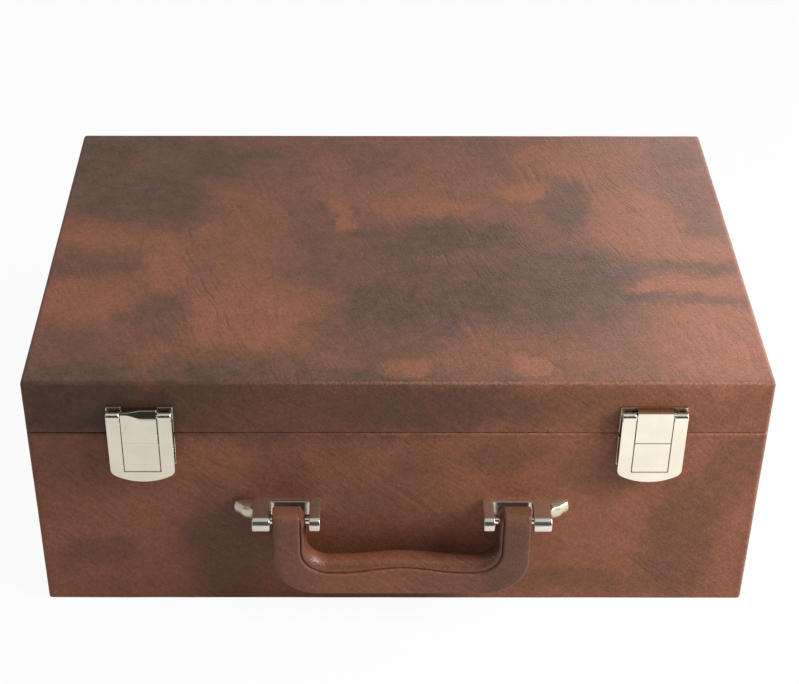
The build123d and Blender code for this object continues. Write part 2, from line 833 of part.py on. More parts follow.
# Stop hinges at the back: the finger on the lid's knuckle meets the lug on the base's leaf
axis_y = back_face + hinge_axis_out
knuckle_inner = hinge_width / 2 - hinge_knuckle_share
leaf_end = hinge_barrel_radius + hinge_barrel_clearance
for name, side in sides.items():
    centre = side * hinge_offset
    for part, up in (("base", -1), ("lid", 1)):
        middle_half = knuckle_inner - hinge_knuckle_gap / 2
        if part == "lid":
            knuckles = [(centre - middle_half, centre + middle_half)]
        else:
            outer_start = knuckle_inner + hinge_knuckle_gap / 2
            knuckles = [
                (centre - hinge_width / 2, centre - outer_start),
                (centre + outer_start, centre + hinge_width / 2),
            ]
        with BuildPart() as leaf:
            box_between(
                (centre - hinge_width / 2, back_face, seam_height + up * leaf_end),
                (centre + hinge_width / 2, back_face + hinge_leaf, seam_height + up * hinge_leaf_height),
            )
            far_corners = leaf.edges().filter_by(Axis.Y).sort_by(Axis.Z)
            fillet(far_corners[:2] if part == "base" else far_corners[-2:], hinge_corner_radius)
            for start, end in knuckles:
                box_between(
                    (start, back_face, seam_height),
                    (end, back_face + hinge_leaf, seam_height + up * leaf_end),
                )
                with Locations(Location(((start + end) / 2, axis_y, seam_height), (0, 90, 0))):
                    Cylinder(hinge_barrel_radius, end - start)
            if part == "base":
                box_between(
                    (centre - hinge_stop_width / 2, back_face, seam_height - hinge_lug_bottom),
                    (
                        centre + hinge_stop_width / 2,
                        back_face + hinge_lug_out,
                        seam_height - hinge_lug_top,
                    ),
                )
            else:
                finger_middle = hinge_stop_reach / 2
                with BuildSketch(Plane.YZ.offset(centre - hinge_stop_width / 2)):
                    with Locations(Location((axis_y, seam_height), hinge_stop_angle)):
                        with Locations((finger_middle, 0)):
                            Rectangle(hinge_stop_reach, hinge_stop_thickness)
                extrude(amount=hinge_stop_width)
            with Locations(Location((centre, axis_y, seam_height), (0, 90, 0))):
                Cylinder(hinge_pin_radius + fit_clearance, hinge_width, mode=Mode.SUBTRACT)
            for x, z in hinge_screws[part]:
                if abs(x - centre) < hinge_width / 2:
                    with Locations(square_to(1, x, hinge_leaf / 2, z)):
                        Cone(
                            hinge_screw_radius + fit_clearance,
                            hinge_screw_head_radius + fit_clearance,
                            hinge_leaf,
                            mode=Mode.SUBTRACT,
                        )
        save(leaf, f"hinge_{part}_leaf_{name}")

with BuildPart() as hinge_pins:
    for side in sides.values():
        centre = side * hinge_offset
        with Locations(Location((centre, axis_y, seam_height), (0, 90, 0))):
            Cylinder(hinge_pin_radius, hinge_width)
        for end in sides.values():
            head_x = centre + end * (hinge_width + hinge_pin_head) / 2
            with Locations(Location((head_x, axis_y, seam_height), (0, 90, 0))):
                Cylinder(hinge_pin_head_radius, hinge_pin_head)
save(hinge_pins, "hinge_pins")

for part, places in hinge_screws.items():
    with BuildPart() as screws:
        for x, z in places:
            with Locations(square_to(1, x, hinge_leaf / 2, z)):
                Cone(hinge_screw_radius, hinge_screw_head_radius, hinge_leaf)
        rod(1, places, hinge_screw_radius, hinge_leaf - hinge_screw_length, 0, Mode.ADD)
    save(screws, f"hinge_{part}_screws")
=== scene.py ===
import json
import math

import bmesh
import bpy
from mathutils import Matrix, Vector, noise


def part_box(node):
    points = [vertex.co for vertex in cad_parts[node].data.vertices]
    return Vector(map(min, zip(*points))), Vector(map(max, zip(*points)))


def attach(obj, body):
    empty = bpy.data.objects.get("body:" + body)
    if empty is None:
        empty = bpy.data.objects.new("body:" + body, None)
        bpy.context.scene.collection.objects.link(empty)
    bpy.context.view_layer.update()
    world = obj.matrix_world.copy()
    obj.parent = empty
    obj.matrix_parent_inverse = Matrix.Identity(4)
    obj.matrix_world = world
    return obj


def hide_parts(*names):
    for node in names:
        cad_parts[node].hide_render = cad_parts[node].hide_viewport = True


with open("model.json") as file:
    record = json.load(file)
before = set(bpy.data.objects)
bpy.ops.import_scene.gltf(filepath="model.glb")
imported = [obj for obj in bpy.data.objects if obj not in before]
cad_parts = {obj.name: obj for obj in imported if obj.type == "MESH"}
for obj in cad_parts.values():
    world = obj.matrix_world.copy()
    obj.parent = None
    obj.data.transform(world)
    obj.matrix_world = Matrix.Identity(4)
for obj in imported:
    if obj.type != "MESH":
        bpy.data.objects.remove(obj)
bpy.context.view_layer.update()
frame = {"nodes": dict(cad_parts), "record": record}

# The looks of a leatherette-covered case for chess pieces, in metres: its skins, handle, latches,
# brackets, lining and hinges, a pale studio and the camera.

MM = 0.001
MERGE_REACH = 1e-6


def mm(*values):
    """Millimetres as a vector in metres."""
    return Vector(values) * MM


# Sizes read from the frame
lid_low, lid_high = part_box("lid_cover")
base_low, base_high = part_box("base_cover")
lid_room_low, lid_room_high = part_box("lid_lining")
base_room = -Vector((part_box("base_lining_left")[0].x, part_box("base_lining_front")[0].y))
grip_low, grip_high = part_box("handle_grip")
pins_low, pins_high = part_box("latch_pins")
FRONT = base_low.y
TOP = lid_high.z
HANDLE_MIDDLE = (grip_low.x + grip_high.x) / 2 / MM

# Camera, fitted to the edges of the case in the photograph
PHOTO_WIDTH = 799
PHOTO_HEIGHT = 684
SENSOR = 36.0
FOCAL_PIXELS = 1777.8
CENTRE_PIXEL = (365.0, 366.0)
CAMERA_PLACE = mm(-19.1, -874.8, 703.5)
CAMERA_YAW = math.radians(0.14)
CAMERA_PITCH = math.radians(36.07)
CAMERA_ROLL = math.radians(0.14)
CLIP_START = 0.05


def make_camera():
    """The camera that took the photograph, with its off-centre principal point as a shift."""
    data = bpy.data.cameras.new("camera")
    camera = bpy.data.objects.new("camera", data)
    bpy.context.collection.objects.link(camera)
    data.sensor_width = SENSOR
    data.lens = FOCAL_PIXELS * SENSOR / PHOTO_WIDTH
    data.shift_x = (PHOTO_WIDTH / 2 - CENTRE_PIXEL[0]) / PHOTO_WIDTH
    data.shift_y = (CENTRE_PIXEL[1] - PHOTO_HEIGHT / 2) / PHOTO_WIDTH
    data.clip_start = CLIP_START
    forward = Vector((
        math.sin(CAMERA_YAW) * math.cos(CAMERA_PITCH),
        math.cos(CAMERA_YAW) * math.cos(CAMERA_PITCH),
        -math.sin(CAMERA_PITCH),
    ))
    level = forward.cross(Vector((0, 0, 1))).normalized()
    right = math.cos(CAMERA_ROLL) * level + math.sin(CAMERA_ROLL) * level.cross(forward)
    camera.location = CAMERA_PLACE
    camera.rotation_euler = Matrix((right, right.cross(forward), -forward)).transposed().to_euler()
    bpy.context.scene.camera = camera


# Shader nodes

class Wire:
    """An output of a shader node. Sums and products of it are Math nodes."""

    def __init__(self, node, output=0):
        self.tree = node.id_data
        self.socket = node.outputs[output]

    def calc(self, operation, *values, clamp=False):
        """A Math node on this value and others."""
        inputs = dict(enumerate((self, *values)))
        return Wire(add_node(self.tree, "ShaderNodeMath", inputs, operation=operation, use_clamp=clamp))

    def vector(self, operation, *values, output=0, **named):
        """A Vector Math node on this vector and others."""
        inputs = dict(enumerate((self, *values))) | named
        return Wire(add_node(self.tree, "ShaderNodeVectorMath", inputs, operation=operation), output)

    def __add__(self, other):
        return self.calc("ADD", other)

    def __sub__(self, other):
        return self.calc("SUBTRACT", other)

    def __rsub__(self, other):
        return self.calc("MULTIPLY_ADD", -1.0, other)

    def __mul__(self, other):
        return self.calc("MULTIPLY", other)

    def __abs__(self):
        return self.calc("ABSOLUTE")


def plug(node, inputs):
    """Set or link inputs of a node."""
    for key, value in inputs.items():
        if isinstance(value, Wire):
            node.id_data.links.new(value.socket, node.inputs[key])
        else:
            node.inputs[key].default_value = value


def add_node(tree, kind, inputs=None, **settings):
    """A shader node with its settings and inputs."""
    made = tree.nodes.new(kind)
    for key, value in settings.items():
        setattr(made, key, value)
    plug(made, inputs or {})
    return made


def axes(place):
    """The three coordinates of a place."""
    split = add_node(place.tree, "ShaderNodeSeparateXYZ", {0: place})
    return [Wire(split, axis) for axis in range(3)]


def combine(first, second, third):
    """A place from its coordinates."""
    return Wire(add_node(first.tree, "ShaderNodeCombineXYZ", {0: first, 1: second, 2: third}))


def noise_value(place, scale, detail=3.0, roughness=0.5, distortion=0.0, output="Fac"):
    """Fractal noise at a number of features per metre."""
    inputs = {"Vector": place, "Scale": scale, "Detail": detail, "Roughness": roughness}
    return Wire(add_node(place.tree, "ShaderNodeTexNoise", inputs | {"Distortion": distortion}), output)


def drift(place, scale, detail, roughness=0.5):
    """A noise vector round zero."""
    return noise_value(place, scale, detail, roughness, output="Color").vector("SUBTRACT", (0.5, 0.5, 0.5))


def smooth(value, low, high, to_low=0.0, to_high=1.0):
    """A smooth step from one value to another."""
    inputs = {"Value": value, "From Min": low, "From Max": high, "To Min": to_low, "To Max": to_high}
    return Wire(add_node(value.tree, "ShaderNodeMapRange", inputs, interpolation_type="SMOOTHSTEP"))


def mix(share, first, second, kind="RGBA"):
    """A mix of two colours, or of two vectors; a Mix node keeps each kind in sockets of its own."""
    at_first, at_second, output = {"RGBA": (6, 7, 2), "VECTOR": (4, 5, 1)}[kind]
    inputs = {0: share, at_first: first, at_second: second}
    return Wire(add_node(share.tree, "ShaderNodeMix", inputs, data_type=kind), output)


def colour(red, green, blue):
    """A colour given as it shows on screen, 0 to 255, as linear light."""
    linear = []
    for value in (red, green, blue):
        share = value / 255
        linear.append(share / 12.92 if share <= 0.04045 else ((share + 0.055) / 1.055) ** 2.4)
    return (*linear, 1.0)


def bump(height, distance, under=None):
    """A bump of a real depth in millimetres, on top of another if given."""
    inputs = {"Height": height, "Distance": distance * MM, "Strength": 1.0}
    if under:
        inputs["Normal"] = under
    return Wire(add_node(height.tree, "ShaderNodeBump", inputs))


def empty_tree(owner):
    """The emptied node tree of a material or a world."""
    owner.use_nodes = True
    owner.node_tree.nodes.clear()
    return owner.node_tree


def new_material(name):
    """A material, the place in it, and its shader."""
    material = bpy.data.materials.new(name)
    tree = empty_tree(material)
    shader = add_node(tree, "ShaderNodeBsdfPrincipled")
    add_node(tree, "ShaderNodeOutputMaterial", {"Surface": Wire(shader)})
    return material, Wire(add_node(tree, "ShaderNodeTexCoord"), "Object"), shader


# Leatherette
EDGE_RADIUS = 2.4 * MM
RIM_RADIUS = 0.6 * MM

# Its clouds: middle x and y on the top (or x and z on the front), half length, half
# width, turn in degrees, and how much darker, or redder where negative
TOP_TONE = 0.52
TOP_CLOUDS = [
    (-152, 98, 60, 42, 0, 0.42),
    (-147, 46, 44, 32, -8, 0.55),
    (-88, 92, 36, 26, 0, 0.30),
    (-50, 28, 14, 36, 8, 0.34),
    (-17, 24, 10, 18, 0, 0.26),
    (-10, 91, 22, 22, 0, 0.22),
    (-60, 120, 150, 20, 0, 0.18),
    (-188, 84, 26, 52, 0, 0.20),
    (30, -30, 92, 54, 0, 0.46),
    (60, -62, 84, 30, 0, 0.12),
    (36, 16, 36, 17, -4, 0.34),
    (-7, -82, 42, 34, 0, 0.36),
    (92, -52, 48, 44, 0, 0.28),
    (122, -24, 34, 18, -8, 0.34),
    (104, 46, 15, 30, 0, 0.50),
    (60, 108, 14, 26, 5, 0.24),
    (-131, -73, 20, 24, 0, 0.42),
    (-176, -112, 30, 28, 0, 0.34),
    (-90, -120, 64, 17, 0, 0.18),
    (-174, -20, 30, 12, 0, 0.34),
    (178, 40, 13, 34, 6, 0.22),
    (171, 105, 20, 12, 0, 0.20),
    (170, -23, 26, 6, -4, 0.34),
    (162, -56, 42, 6, -3, 0.34),
    (136, -96, 24, 28, 0, 0.16),
    (-166, 12, 38, 16, 0, -0.34),
    (-131, -20, 15, 30, 0, -0.42),
    (-175, -58, 28, 24, 0, -0.44),
    (-78, -68, 40, 38, 0, -0.46),
    (-90, 17, 27, 52, 6, -0.12),
    (-30, 34, 7, 20, 0, -0.46),
    (16, 46, 30, 12, 0, -0.30),
    (80, 61, 16, 12, 0, -0.80),
    (121, 100, 42, 28, 0, -0.36),
    (145, 32, 28, 42, 0, -0.64),
    (176, -4, 28, 14, 0, -0.50),
    (166, -41, 38, 9, 0, -0.60),
    (168, -96, 40, 40, 0, -0.52),
    (70, -118, 12, 12, 0, -0.70),
    (6, -121, 12, 9, 0, -0.60),
]
FRONT_TONE = 0.22
FRONT_CLOUDS = [
    # The first four darken the lid's front band: partly the print, partly painted shade
    (-70, 136, 170, 24, 0, 0.62),
    (22, 136, 60, 15, 0, 0.22),
    (-170, 136, 52, 20, 0, 0.72),
    (140, 138, 60, 16, 0, 0.28),
    (-182, 100, 20, 16, 0, 0.34),
    (-62, 92, 18, 30, 0, 0.34),
    (-30, 108, 18, 10, 0, 0.24),
    (12, 98, 14, 11, 0, 0.28),
    # Partly the print, partly a painted shadow of the handle's left arm
    (-92, 40, 26, 46, 0, 0.56),
    (-165, 36, 24, 11, -10, 0.42),
    (62, 106, 26, 11, -8, 0.40),
    (104, 92, 16, 16, 0, 0.30),
    (158, 46, 22, 50, 0, 0.52),
    (183, 98, 17, 24, 0, 0.44),
    (105, 13, 40, 11, 0, 0.38),
    (-10, 60, 44, 34, 0, 0.36),
]
CLOUD_DEPTH = 22.0
CLOUD_FADE = (1.30, 0.58)
DARK_LIMITS = (-0.15, 1.15)

# How far in from the ends and the back the placed clouds fade, how much of them and of loose clouds
# shows there, and the loose clouds on the handle
END_FADE = 7.0 * MM
BACK_FADE = 8.5 * MM
OUTSIDE_PLACED_LOSS = 0.8
OUTSIDE_LOOSE = 0.62
GRIP_LOOSE = 0.34
GRIP_PALE_REACH = (30 * MM, 62 * MM)
GRIP_PALER = 0.55

# Where the edges are worn and carry painted light, as shares of their radii from the top and from the sides
# inward, how much of it the base's rim takes beside them, and where the edge colour turns from painted shade
# (dark) to wear with a painted highlight (pale)
TOP_WEAR_AND_PAINTED_LIGHT = (0.75, 0.1)
SIDE_WEAR_AND_PAINTED_LIGHT = (1.0, 0.3)
RIM_WEAR_AND_PAINTED_LIGHT_START = 1.6
RIM_WEAR_AND_PAINTED_LIGHT = 0.6
EDGE_SHADE_TO_HIGHLIGHT = (-0.14, 0.05)

# Direction of the fibres: the sine and cosine of their slant on the top and on the walls
TOP_SLANT = (0.35, 0.93)
WALL_SLANT = (0.75, 0.66)
FIBRE_STRETCH = (0.11, 1.0, 1.0)
LINE_STRETCH = (0.07, 1.0, 1.0)

# Painted light: how much lighter the walls are painted toward the right, and how much darker the lid's front
# is painted toward
# the left as painted shade: from x to x, and from change to change, with the heights between which the
# painted shade sets in
PAINTED_WALL_LIGHT = (-0.03, 0.13, 0.0, 0.24)
PAINTED_LEFT_SHADE = (-0.05, -0.13, 0.0, 0.26)
PAINTED_LEFT_SHADE_HEIGHT = (0.116, 0.124)

# How far noise shifts the clouds and the fibres, and where a second pattern is read
SWIRL_SHIFT = (0.020, 0.020, 0.020)
RAGGED_SHIFT = (0.030, 0.030, 0.030)
FIBRE_SHIFT = (0.012, 0.012, 0.0)
SECOND_PLACE = (0.3, 0.1, 0.7)

# Its browns: the ground, the ink on the top and on the walls, the darkest spots, painted shade for creases,
# and worn edges painted dark (shade) on the left and pale (wear and highlight) on the right
GROUND = (colour(149, 92, 63), colour(157, 97, 74))
TOP_INK = (colour(108, 75, 62), colour(96, 71, 51))
WALL_INK = colour(100, 67, 50)
DEEPEST = colour(70, 53, 42)
CREASE_SHADE = colour(64, 43, 32)
CREASE_SHADE_SHARE = 0.32
WORN_EDGE_SHADE_AND_HIGHLIGHT = (colour(60, 42, 33), colour(200, 140, 120))


def cloud_sum(place, level):
    """How dark the listed clouds are, from their sum."""
    spots = [
        ((x, y, TOP / MM), (a, b, CLOUD_DEPTH), (0, 0, turn), dark)
        for x, y, a, b, turn, dark in TOP_CLOUDS
    ]
    spots += [
        ((x, FRONT / MM, z), (a, CLOUD_DEPTH, b), (0, turn, 0), dark)
        for x, z, a, b, turn, dark in FRONT_CLOUDS
    ]
    total = level
    for middle, halves, turns, dark in spots:
        inputs = {
            "Vector": place,
            "Location": mm(*middle),
            "Rotation": [math.radians(turn) for turn in turns],
            "Scale": mm(*halves),
        }
        local = Wire(add_node(place.tree, "ShaderNodeMapping", inputs, vector_type="TEXTURE"))
        total = total + smooth(local.vector("LENGTH", output="Value"), *CLOUD_FADE, 0.0, dark)
    return total.calc("MAXIMUM", DARK_LIMITS[0]).calc("MINIMUM", DARK_LIMITS[1])


def skin_dark(x, y, bent, loose, on_top):
    """How dark the case's leatherette is: by placed clouds on the top and front, and loose ones elsewhere."""
    ends = smooth(abs(x), lid_high.x - END_FADE, lid_high.x)
    back = smooth(y, lid_high.y - BACK_FADE, lid_high.y)
    outside = ends.calc("MAXIMUM", back) * (1.0 - on_top)
    placed = cloud_sum(bent, on_top * (TOP_TONE - FRONT_TONE) + FRONT_TONE)
    return placed * (1.0 - outside * OUTSIDE_PLACED_LOSS) + loose * outside * OUTSIDE_LOOSE


def grip_dark(x, loose, bias):
    """How dark the handle's leatherette is: paler in its middle."""
    beside = smooth(abs(x - HANDLE_MIDDLE * MM), *GRIP_PALE_REACH, bias - GRIP_PALER, bias)
    return loose * GRIP_LOOSE + beside


def browns(elsewhere, hue, dark, on_top, case):
    """The reddish ground, printed over with ink that turns olive in places, and deepest where darkest."""
    ground = mix(smooth(hue, 0.35, 0.65), *GROUND)
    olive = smooth(noise_value(elsewhere, 38.0, 4.0, 0.6), 0.42, 0.58)
    ink = mix(olive, *TOP_INK)
    if case:
        ink = mix(on_top, WALL_INK, ink)
    printed = (dark * 0.95).calc("ADD", 0.02, clamp=True) * 0.94
    return mix(smooth(dark, 0.95, 1.6), mix(printed, ground, ink), DEEPEST)


def worn_and_painted_edges(x, y, z):
    """Where the leatherette is worn and painted with light and shade: along the lid's upper edge and the
    base's rim.
    """
    upper = smooth(z, *(TOP - EDGE_RADIUS * share for share in TOP_WEAR_AND_PAINTED_LIGHT))
    front = smooth(y, *(FRONT + EDGE_RADIUS * share for share in SIDE_WEAR_AND_PAINTED_LIGHT))
    ends = smooth(abs(x), *(lid_high.x - EDGE_RADIUS * share for share in SIDE_WEAR_AND_PAINTED_LIGHT))
    rim = smooth(z, base_high.z - RIM_WEAR_AND_PAINTED_LIGHT_START * RIM_RADIUS, base_high.z - RIM_RADIUS)
    rim = rim * smooth(z, lid_low.z, base_high.z) * RIM_WEAR_AND_PAINTED_LIGHT
    return (upper * front.calc("MAXIMUM", ends)).calc("MAXIMUM", rim)


def wear_and_painted_light(tone, x, y, z, speckle, on_top):
    """The colour with its worn edges, painted dark (painted shade) on the left and pale (wear and a painted
    highlight) on the right, and with painted light on the walls: lighter toward the right, darker on the
    lid's front toward the left.
    """
    # The edges' colour: painted shade (dark) on the left, wear with a painted highlight (pale) on the right
    edge_shade_and_highlight = mix(smooth(x, *EDGE_SHADE_TO_HIGHLIGHT), *WORN_EDGE_SHADE_AND_HIGHLIGHT)
    tone = mix(worn_and_painted_edges(x, y, z) * smooth(speckle, 0.62, 0.40, 0.12, 0.50), tone, edge_shade_and_highlight)
    # Painted light on the walls: lighter toward the right, with painted shade on the lid's front toward the
    # left
    lit = smooth(x, *PAINTED_WALL_LIGHT) - smooth(x, *PAINTED_LEFT_SHADE) * smooth(z, *PAINTED_LEFT_SHADE_HEIGHT)
    return tone.vector("SCALE", Scale=lit * (1.0 - on_top) + 1.0)


def fibre_place(x, y, z, on_top):
    """Coordinates along and across the slanting fibres, which differ on the top and on the walls."""
    level = x + y
    top = combine(x * TOP_SLANT[0] - y * TOP_SLANT[1], x * TOP_SLANT[1] + y * TOP_SLANT[0], 0.0)
    wall = combine(level * WALL_SLANT[0] - z * WALL_SLANT[1], level * WALL_SLANT[1] + z * WALL_SLANT[0], 0.5)
    return mix(on_top, wall, top, "VECTOR")


def leatherette(name, grip_bias=None, shade=1.0, gloss=0.28, roughness=0.36):
    """Leatherette printed in clouds of browns, with a fine grain and slanting fibres: the case's, or the
    handle's where its bias toward dark is given. It carries painted shade in its creases and painted light on
    the case's edges and walls, and shade darkens a whole copy as painted shade."""
    material, place, shader = new_material(name)
    x, y, z = axes(place)
    on_top = smooth(z, TOP - EDGE_RADIUS, TOP - 0.2 * EDGE_RADIUS)
    case = grip_bias is None
    swirl = drift(place, 24.0, 2.0)
    bent = swirl.vector("MULTIPLY_ADD", SWIRL_SHIFT, place)
    bent = drift(place, 95.0, 6.0, 0.78).vector("MULTIPLY_ADD", RAGGED_SHIFT, bent)
    elsewhere = place.vector("ADD", SECOND_PLACE)

    loose = smooth(noise_value(bent, 9.0, 3.0, 0.55), 0.44, 0.60)
    dark = skin_dark(x, y, bent, loose, on_top) if case else grip_dark(x, loose, grip_bias)
    dark = dark + (noise_value(place, 120.0, 8.0, 0.82, 0.2) - 0.5) * (on_top * 0.5 + 1.05)
    hue = noise_value(place, 42.0, 4.0, 0.65)
    tone = browns(elsewhere, hue, dark, on_top, case)

    along = swirl.vector("MULTIPLY_ADD", FIBRE_SHIFT, fibre_place(x, y, z, on_top))
    fibre = noise_value(along.vector("MULTIPLY", FIBRE_STRETCH), 560.0, 5.0, 0.66)
    worked = smooth(noise_value(elsewhere, 20.0, 3.0, 0.55), 0.42, 0.64, 0.12, 1.0)
    speckle = noise_value(place, 640.0, 3.0, 0.75)
    light = smooth((fibre - 0.5) * worked + 0.5, 0.28, 0.74, 1.17, 0.80)
    tone = tone.vector("SCALE", Scale=light * smooth(speckle, 0.30, 0.72, 1.17, 0.77))

    lines = noise_value(along.vector("MULTIPLY", LINE_STRETCH), 150.0, 2.0)
    patches = smooth(noise_value(place, 16.0, 2.0), 0.52, 0.64)
    crease = smooth(abs(lines - 0.5), 0.0, 0.016, 1.0, 0.0) * patches
    # Painted shade: darker along the creases
    tone = mix(crease * CREASE_SHADE_SHARE, tone, CREASE_SHADE)
    if case:
        tone = wear_and_painted_light(tone, x, y, z, speckle, on_top)

    pits = Wire(add_node(place.tree, "ShaderNodeTexVoronoi", {"Vector": place, "Scale": 1050.0}), "Distance")
    grain = noise_value(place, 900.0, 3.0, 0.75) * 0.9 + pits
    plug(shader, {
        "Base Color": tone.vector("SCALE", Scale=shade),
        "Roughness": smooth(hue, 0.3, 0.7, roughness, roughness + 0.10),
        "Normal": bump(grain, 0.10, bump(fibre, 0.16, bump(1.0 - crease, 0.10))),
        "Specular IOR Level": gloss,
    })
    return material


# Other materials

def nickel(name, tint, roughness, metallic=1.0):
    """Nickel with faint rub marks, and painted light: a painted reflection that grows a little lighter toward
    the right.
    """
    material, place, shader = new_material(name)
    rub = noise_value(place.vector("MULTIPLY", (1.0, 1.0, 0.25)), 420.0, 4.0, 0.7)
    dulled = tuple(0.93 * value for value in tint[:3]) + (1.0,)
    tone = mix(smooth(noise_value(place, 70.0), 0.3, 0.7), tint, dulled)
    plug(shader, {
        # Painted reflection: the colour grows lighter toward the right
        "Base Color": tone.vector("SCALE", Scale=smooth(axes(place)[0], -0.05, 0.12, 1.0, 1.12)),
        "Roughness": smooth(rub, 0.35, 0.75, roughness, roughness + 0.10),
        "Normal": bump(noise_value(place, 160.0, 2.0), 0.02),
        "Metallic": metallic,
    })
    return material


def velvet(name, pile, shadow):
    """Short velvet whose pile lies in patches, with painted shade where the pile turns and between its tufts.
    """
    material, place, shader = new_material(name)
    nap = noise_value(place, 26.0, 5.0, 0.65, 0.2)
    tuft = noise_value(place, 2200.0, 2.0, 0.6)
    tone = mix(smooth(nap, 0.30, 0.70, 0.45, 0.95), shadow, pile)
    plug(shader, {
        "Base Color": mix(smooth(tuft, 0.4, 0.7, 0.0, 0.35), tone, shadow),
        "Normal": bump(tuft, 0.18),
        "Roughness": 0.95,
        "Sheen Weight": 0.7,
        "Sheen Roughness": 0.4,
        "Sheen Tint": pile,
    })
    return material


def board(name):
    """Pale board, seen only where the cover ends."""
    material, place, shader = new_material(name)
    fibre = noise_value(place.vector("MULTIPLY", (0.12, 1.0, 1.0)), 380.0, 4.0, 0.6)
    tone = mix(smooth(fibre, 0.3, 0.7), colour(168, 134, 98), colour(193, 162, 124))
    plug(shader, {"Base Color": tone, "Normal": bump(fibre, 0.1), "Roughness": 0.75})
    return material


def satin(name, tint, shadow):
    """Woven satin ribbon, with painted shade along its weave."""
    material, place, shader = new_material(name)
    inputs = {"Vector": place, "Scale": 420.0, "Distortion": 0.4}
    weave = Wire(add_node(place.tree, "ShaderNodeTexWave", inputs, bands_direction="Z"), "Fac")
    tone = mix(weave * 0.5, tint, shadow)
    plug(shader, {"Base Color": tone, "Normal": bump(weave, 0.08), "Roughness": 0.45, "Sheen Weight": 0.4})
    return material


skin_material = leatherette("mottled_leatherette")
grip_face_material = leatherette("grip_face_leatherette", 0.58)
# The roll's copy of the handle's leatherette is darkened by painted shade (shade=0.64)
grip_roll_material = leatherette("grip_roll_leatherette", 0.30, shade=0.64, gloss=0.45, roughness=0.27)
nickel_material = nickel("nickel_plate", colour(235, 227, 209), 0.09)
plate_material = nickel("dull_nickel", colour(176, 168, 150), 0.16)
bracket_material = nickel("cast_nickel", colour(226, 220, 204), 0.14, 0.93)
knuckle_material = nickel("knuckle_nickel", colour(240, 234, 218), 0.20)
wing_material = nickel("wing_nickel", colour(212, 202, 180), 0.30)
steel_material = nickel("steel", colour(186, 184, 178), 0.28)
velvet_material = velvet("green_velvet", colour(38, 88, 66), colour(18, 50, 38))
ribbon_material = satin("satin_ribbon", colour(48, 104, 78), colour(22, 58, 44))
board_material = board("board")


# Meshes

def make_object(name, mesh, *materials):
    """A smooth object of a mesh, with its materials."""
    made = bpy.data.objects.new(name, mesh)
    bpy.context.collection.objects.link(made)
    mesh.shade_smooth()
    for material in materials:
        mesh.materials.append(material)
    return made


def finish_mesh(name, work, *materials, sharp=50):
    """An object from a bmesh, with its faces turned outward and its sharp edges kept sharp."""
    bmesh.ops.remove_doubles(work, verts=work.verts, dist=MERGE_REACH)
    bmesh.ops.recalc_face_normals(work, faces=work.faces)
    mesh = bpy.data.meshes.new(name)
    work.to_mesh(mesh)
    work.free()
    made = make_object(name, mesh, *materials)
    mesh.set_sharp_from_angle(angle=math.radians(sharp))
    return made


def dress(made, body, slot, *nodes):
    """Let a piece ride on its body and stand for its nodes; its slot is not used."""
    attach(made, body)
    if nodes:
        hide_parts(*nodes)
    return made


def join_rows(work, rows, closed=True, capped=False):
    """Faces between rows of vertices, whose ends are joined where closed, with caps on both sides."""
    faces = []
    for row, beside in zip(rows, rows[1:]):
        for step in range(len(row) if closed else len(row) - 1):
            after = (step + 1) % len(row)
            faces.append(work.faces.new((row[step], row[after], beside[after], beside[step])))
    if capped:
        work.faces.new(rows[0])
        work.faces.new(rows[-1])
    return faces


def arc_steps(count):
    """Angles from 0 to 90 degrees."""
    return [math.radians(90) * step / count for step in range(count + 1)]


def quarter(radius, steps):
    """Distances in from the two sides of a corner, along its rounding from the first side on."""
    return [(radius * (1 - math.cos(turn)), radius * (1 - math.sin(turn))) for turn in arc_steps(steps)]


def clamped(place, low, high):
    """The point of a box that is nearest to a place."""
    return Vector([max(least, min(most, value)) for value, least, most in zip(place, low, high)])


def arc(centre, radius, start, end, steps):
    """Points on an arc, with its ends, from its angles in degrees."""
    turns = [math.radians(start + (end - start) * step / steps) for step in range(steps + 1)]
    return [(centre[0] + radius * math.cos(turn), centre[1] + radius * math.sin(turn)) for turn in turns]


def spread(low, high, spacing):
    """Evenly spaced values, ends included."""
    steps = max(1, round((high - low) / spacing))
    return [low + (high - low) * step / steps for step in range(steps + 1)]


# Skins of the lid and the base

SKIN = 0.75 * MM
GRID = 1.35 * MM
CORNER_STEPS = 6
RIM_STEPS = 3
DOWN = math.radians(-90)

# Waves of the leatherette over its board: features per metre and height in millimetres
SLOW_WAVE = (22.0, 0.10)
QUICK_WAVE = (90.0, 0.05)
ELSEWHERE = Vector((3.1, 7.7, 1.9))

# Creases pressed into the leatherette: from x and y (or z) to x and y (or z)
TOP_CREASES = [
    (-100, 100, -92, 62),
    (-93, 96, -79, 50),
    (-85, 90, -72, 40),
    (-77, 80, -65, 34),
    (-70, 66, -60, 22),
    (-97, 54, -86, 18),
    (78, 100, 84, 62),
    (86, 96, 89, 72),
    (115, 95, 125, 50),
    (107, 88, 113, 66),
    (165, 32, 168, 2),
    (33, -50, 45, -110),
    (27, -62, 35, -94),
    (152, -72, 157, -98),
    (163, -80, 166, -112),
    (177, -70, 172, -98),
    (184, -90, 188, -124),
]
FRONT_CREASES = [
    (-40, 97, -14, 74),
    (-27, 93, 3, 67),
    (-16, 95, 16, 68),
    (-6, 88, 27, 57),
    (7, 84, 36, 59),
    (-35, 80, -10, 58),
    (15, 75, 39, 51),
    (-118, 60, -104, 40),
    (120, 100, 138, 82),
]
CREASE_DEPTH = 0.22
CREASE_WIDTH = 1.0
CREASE_REACH = 3
CREASE_LIP = 0.35
CREASE_LIP_PLACE = 1.8
CREASE_WANDER = 2.5
CREASE_WANDER_SCALE = 45.0
CREASE_MARGIN = 6


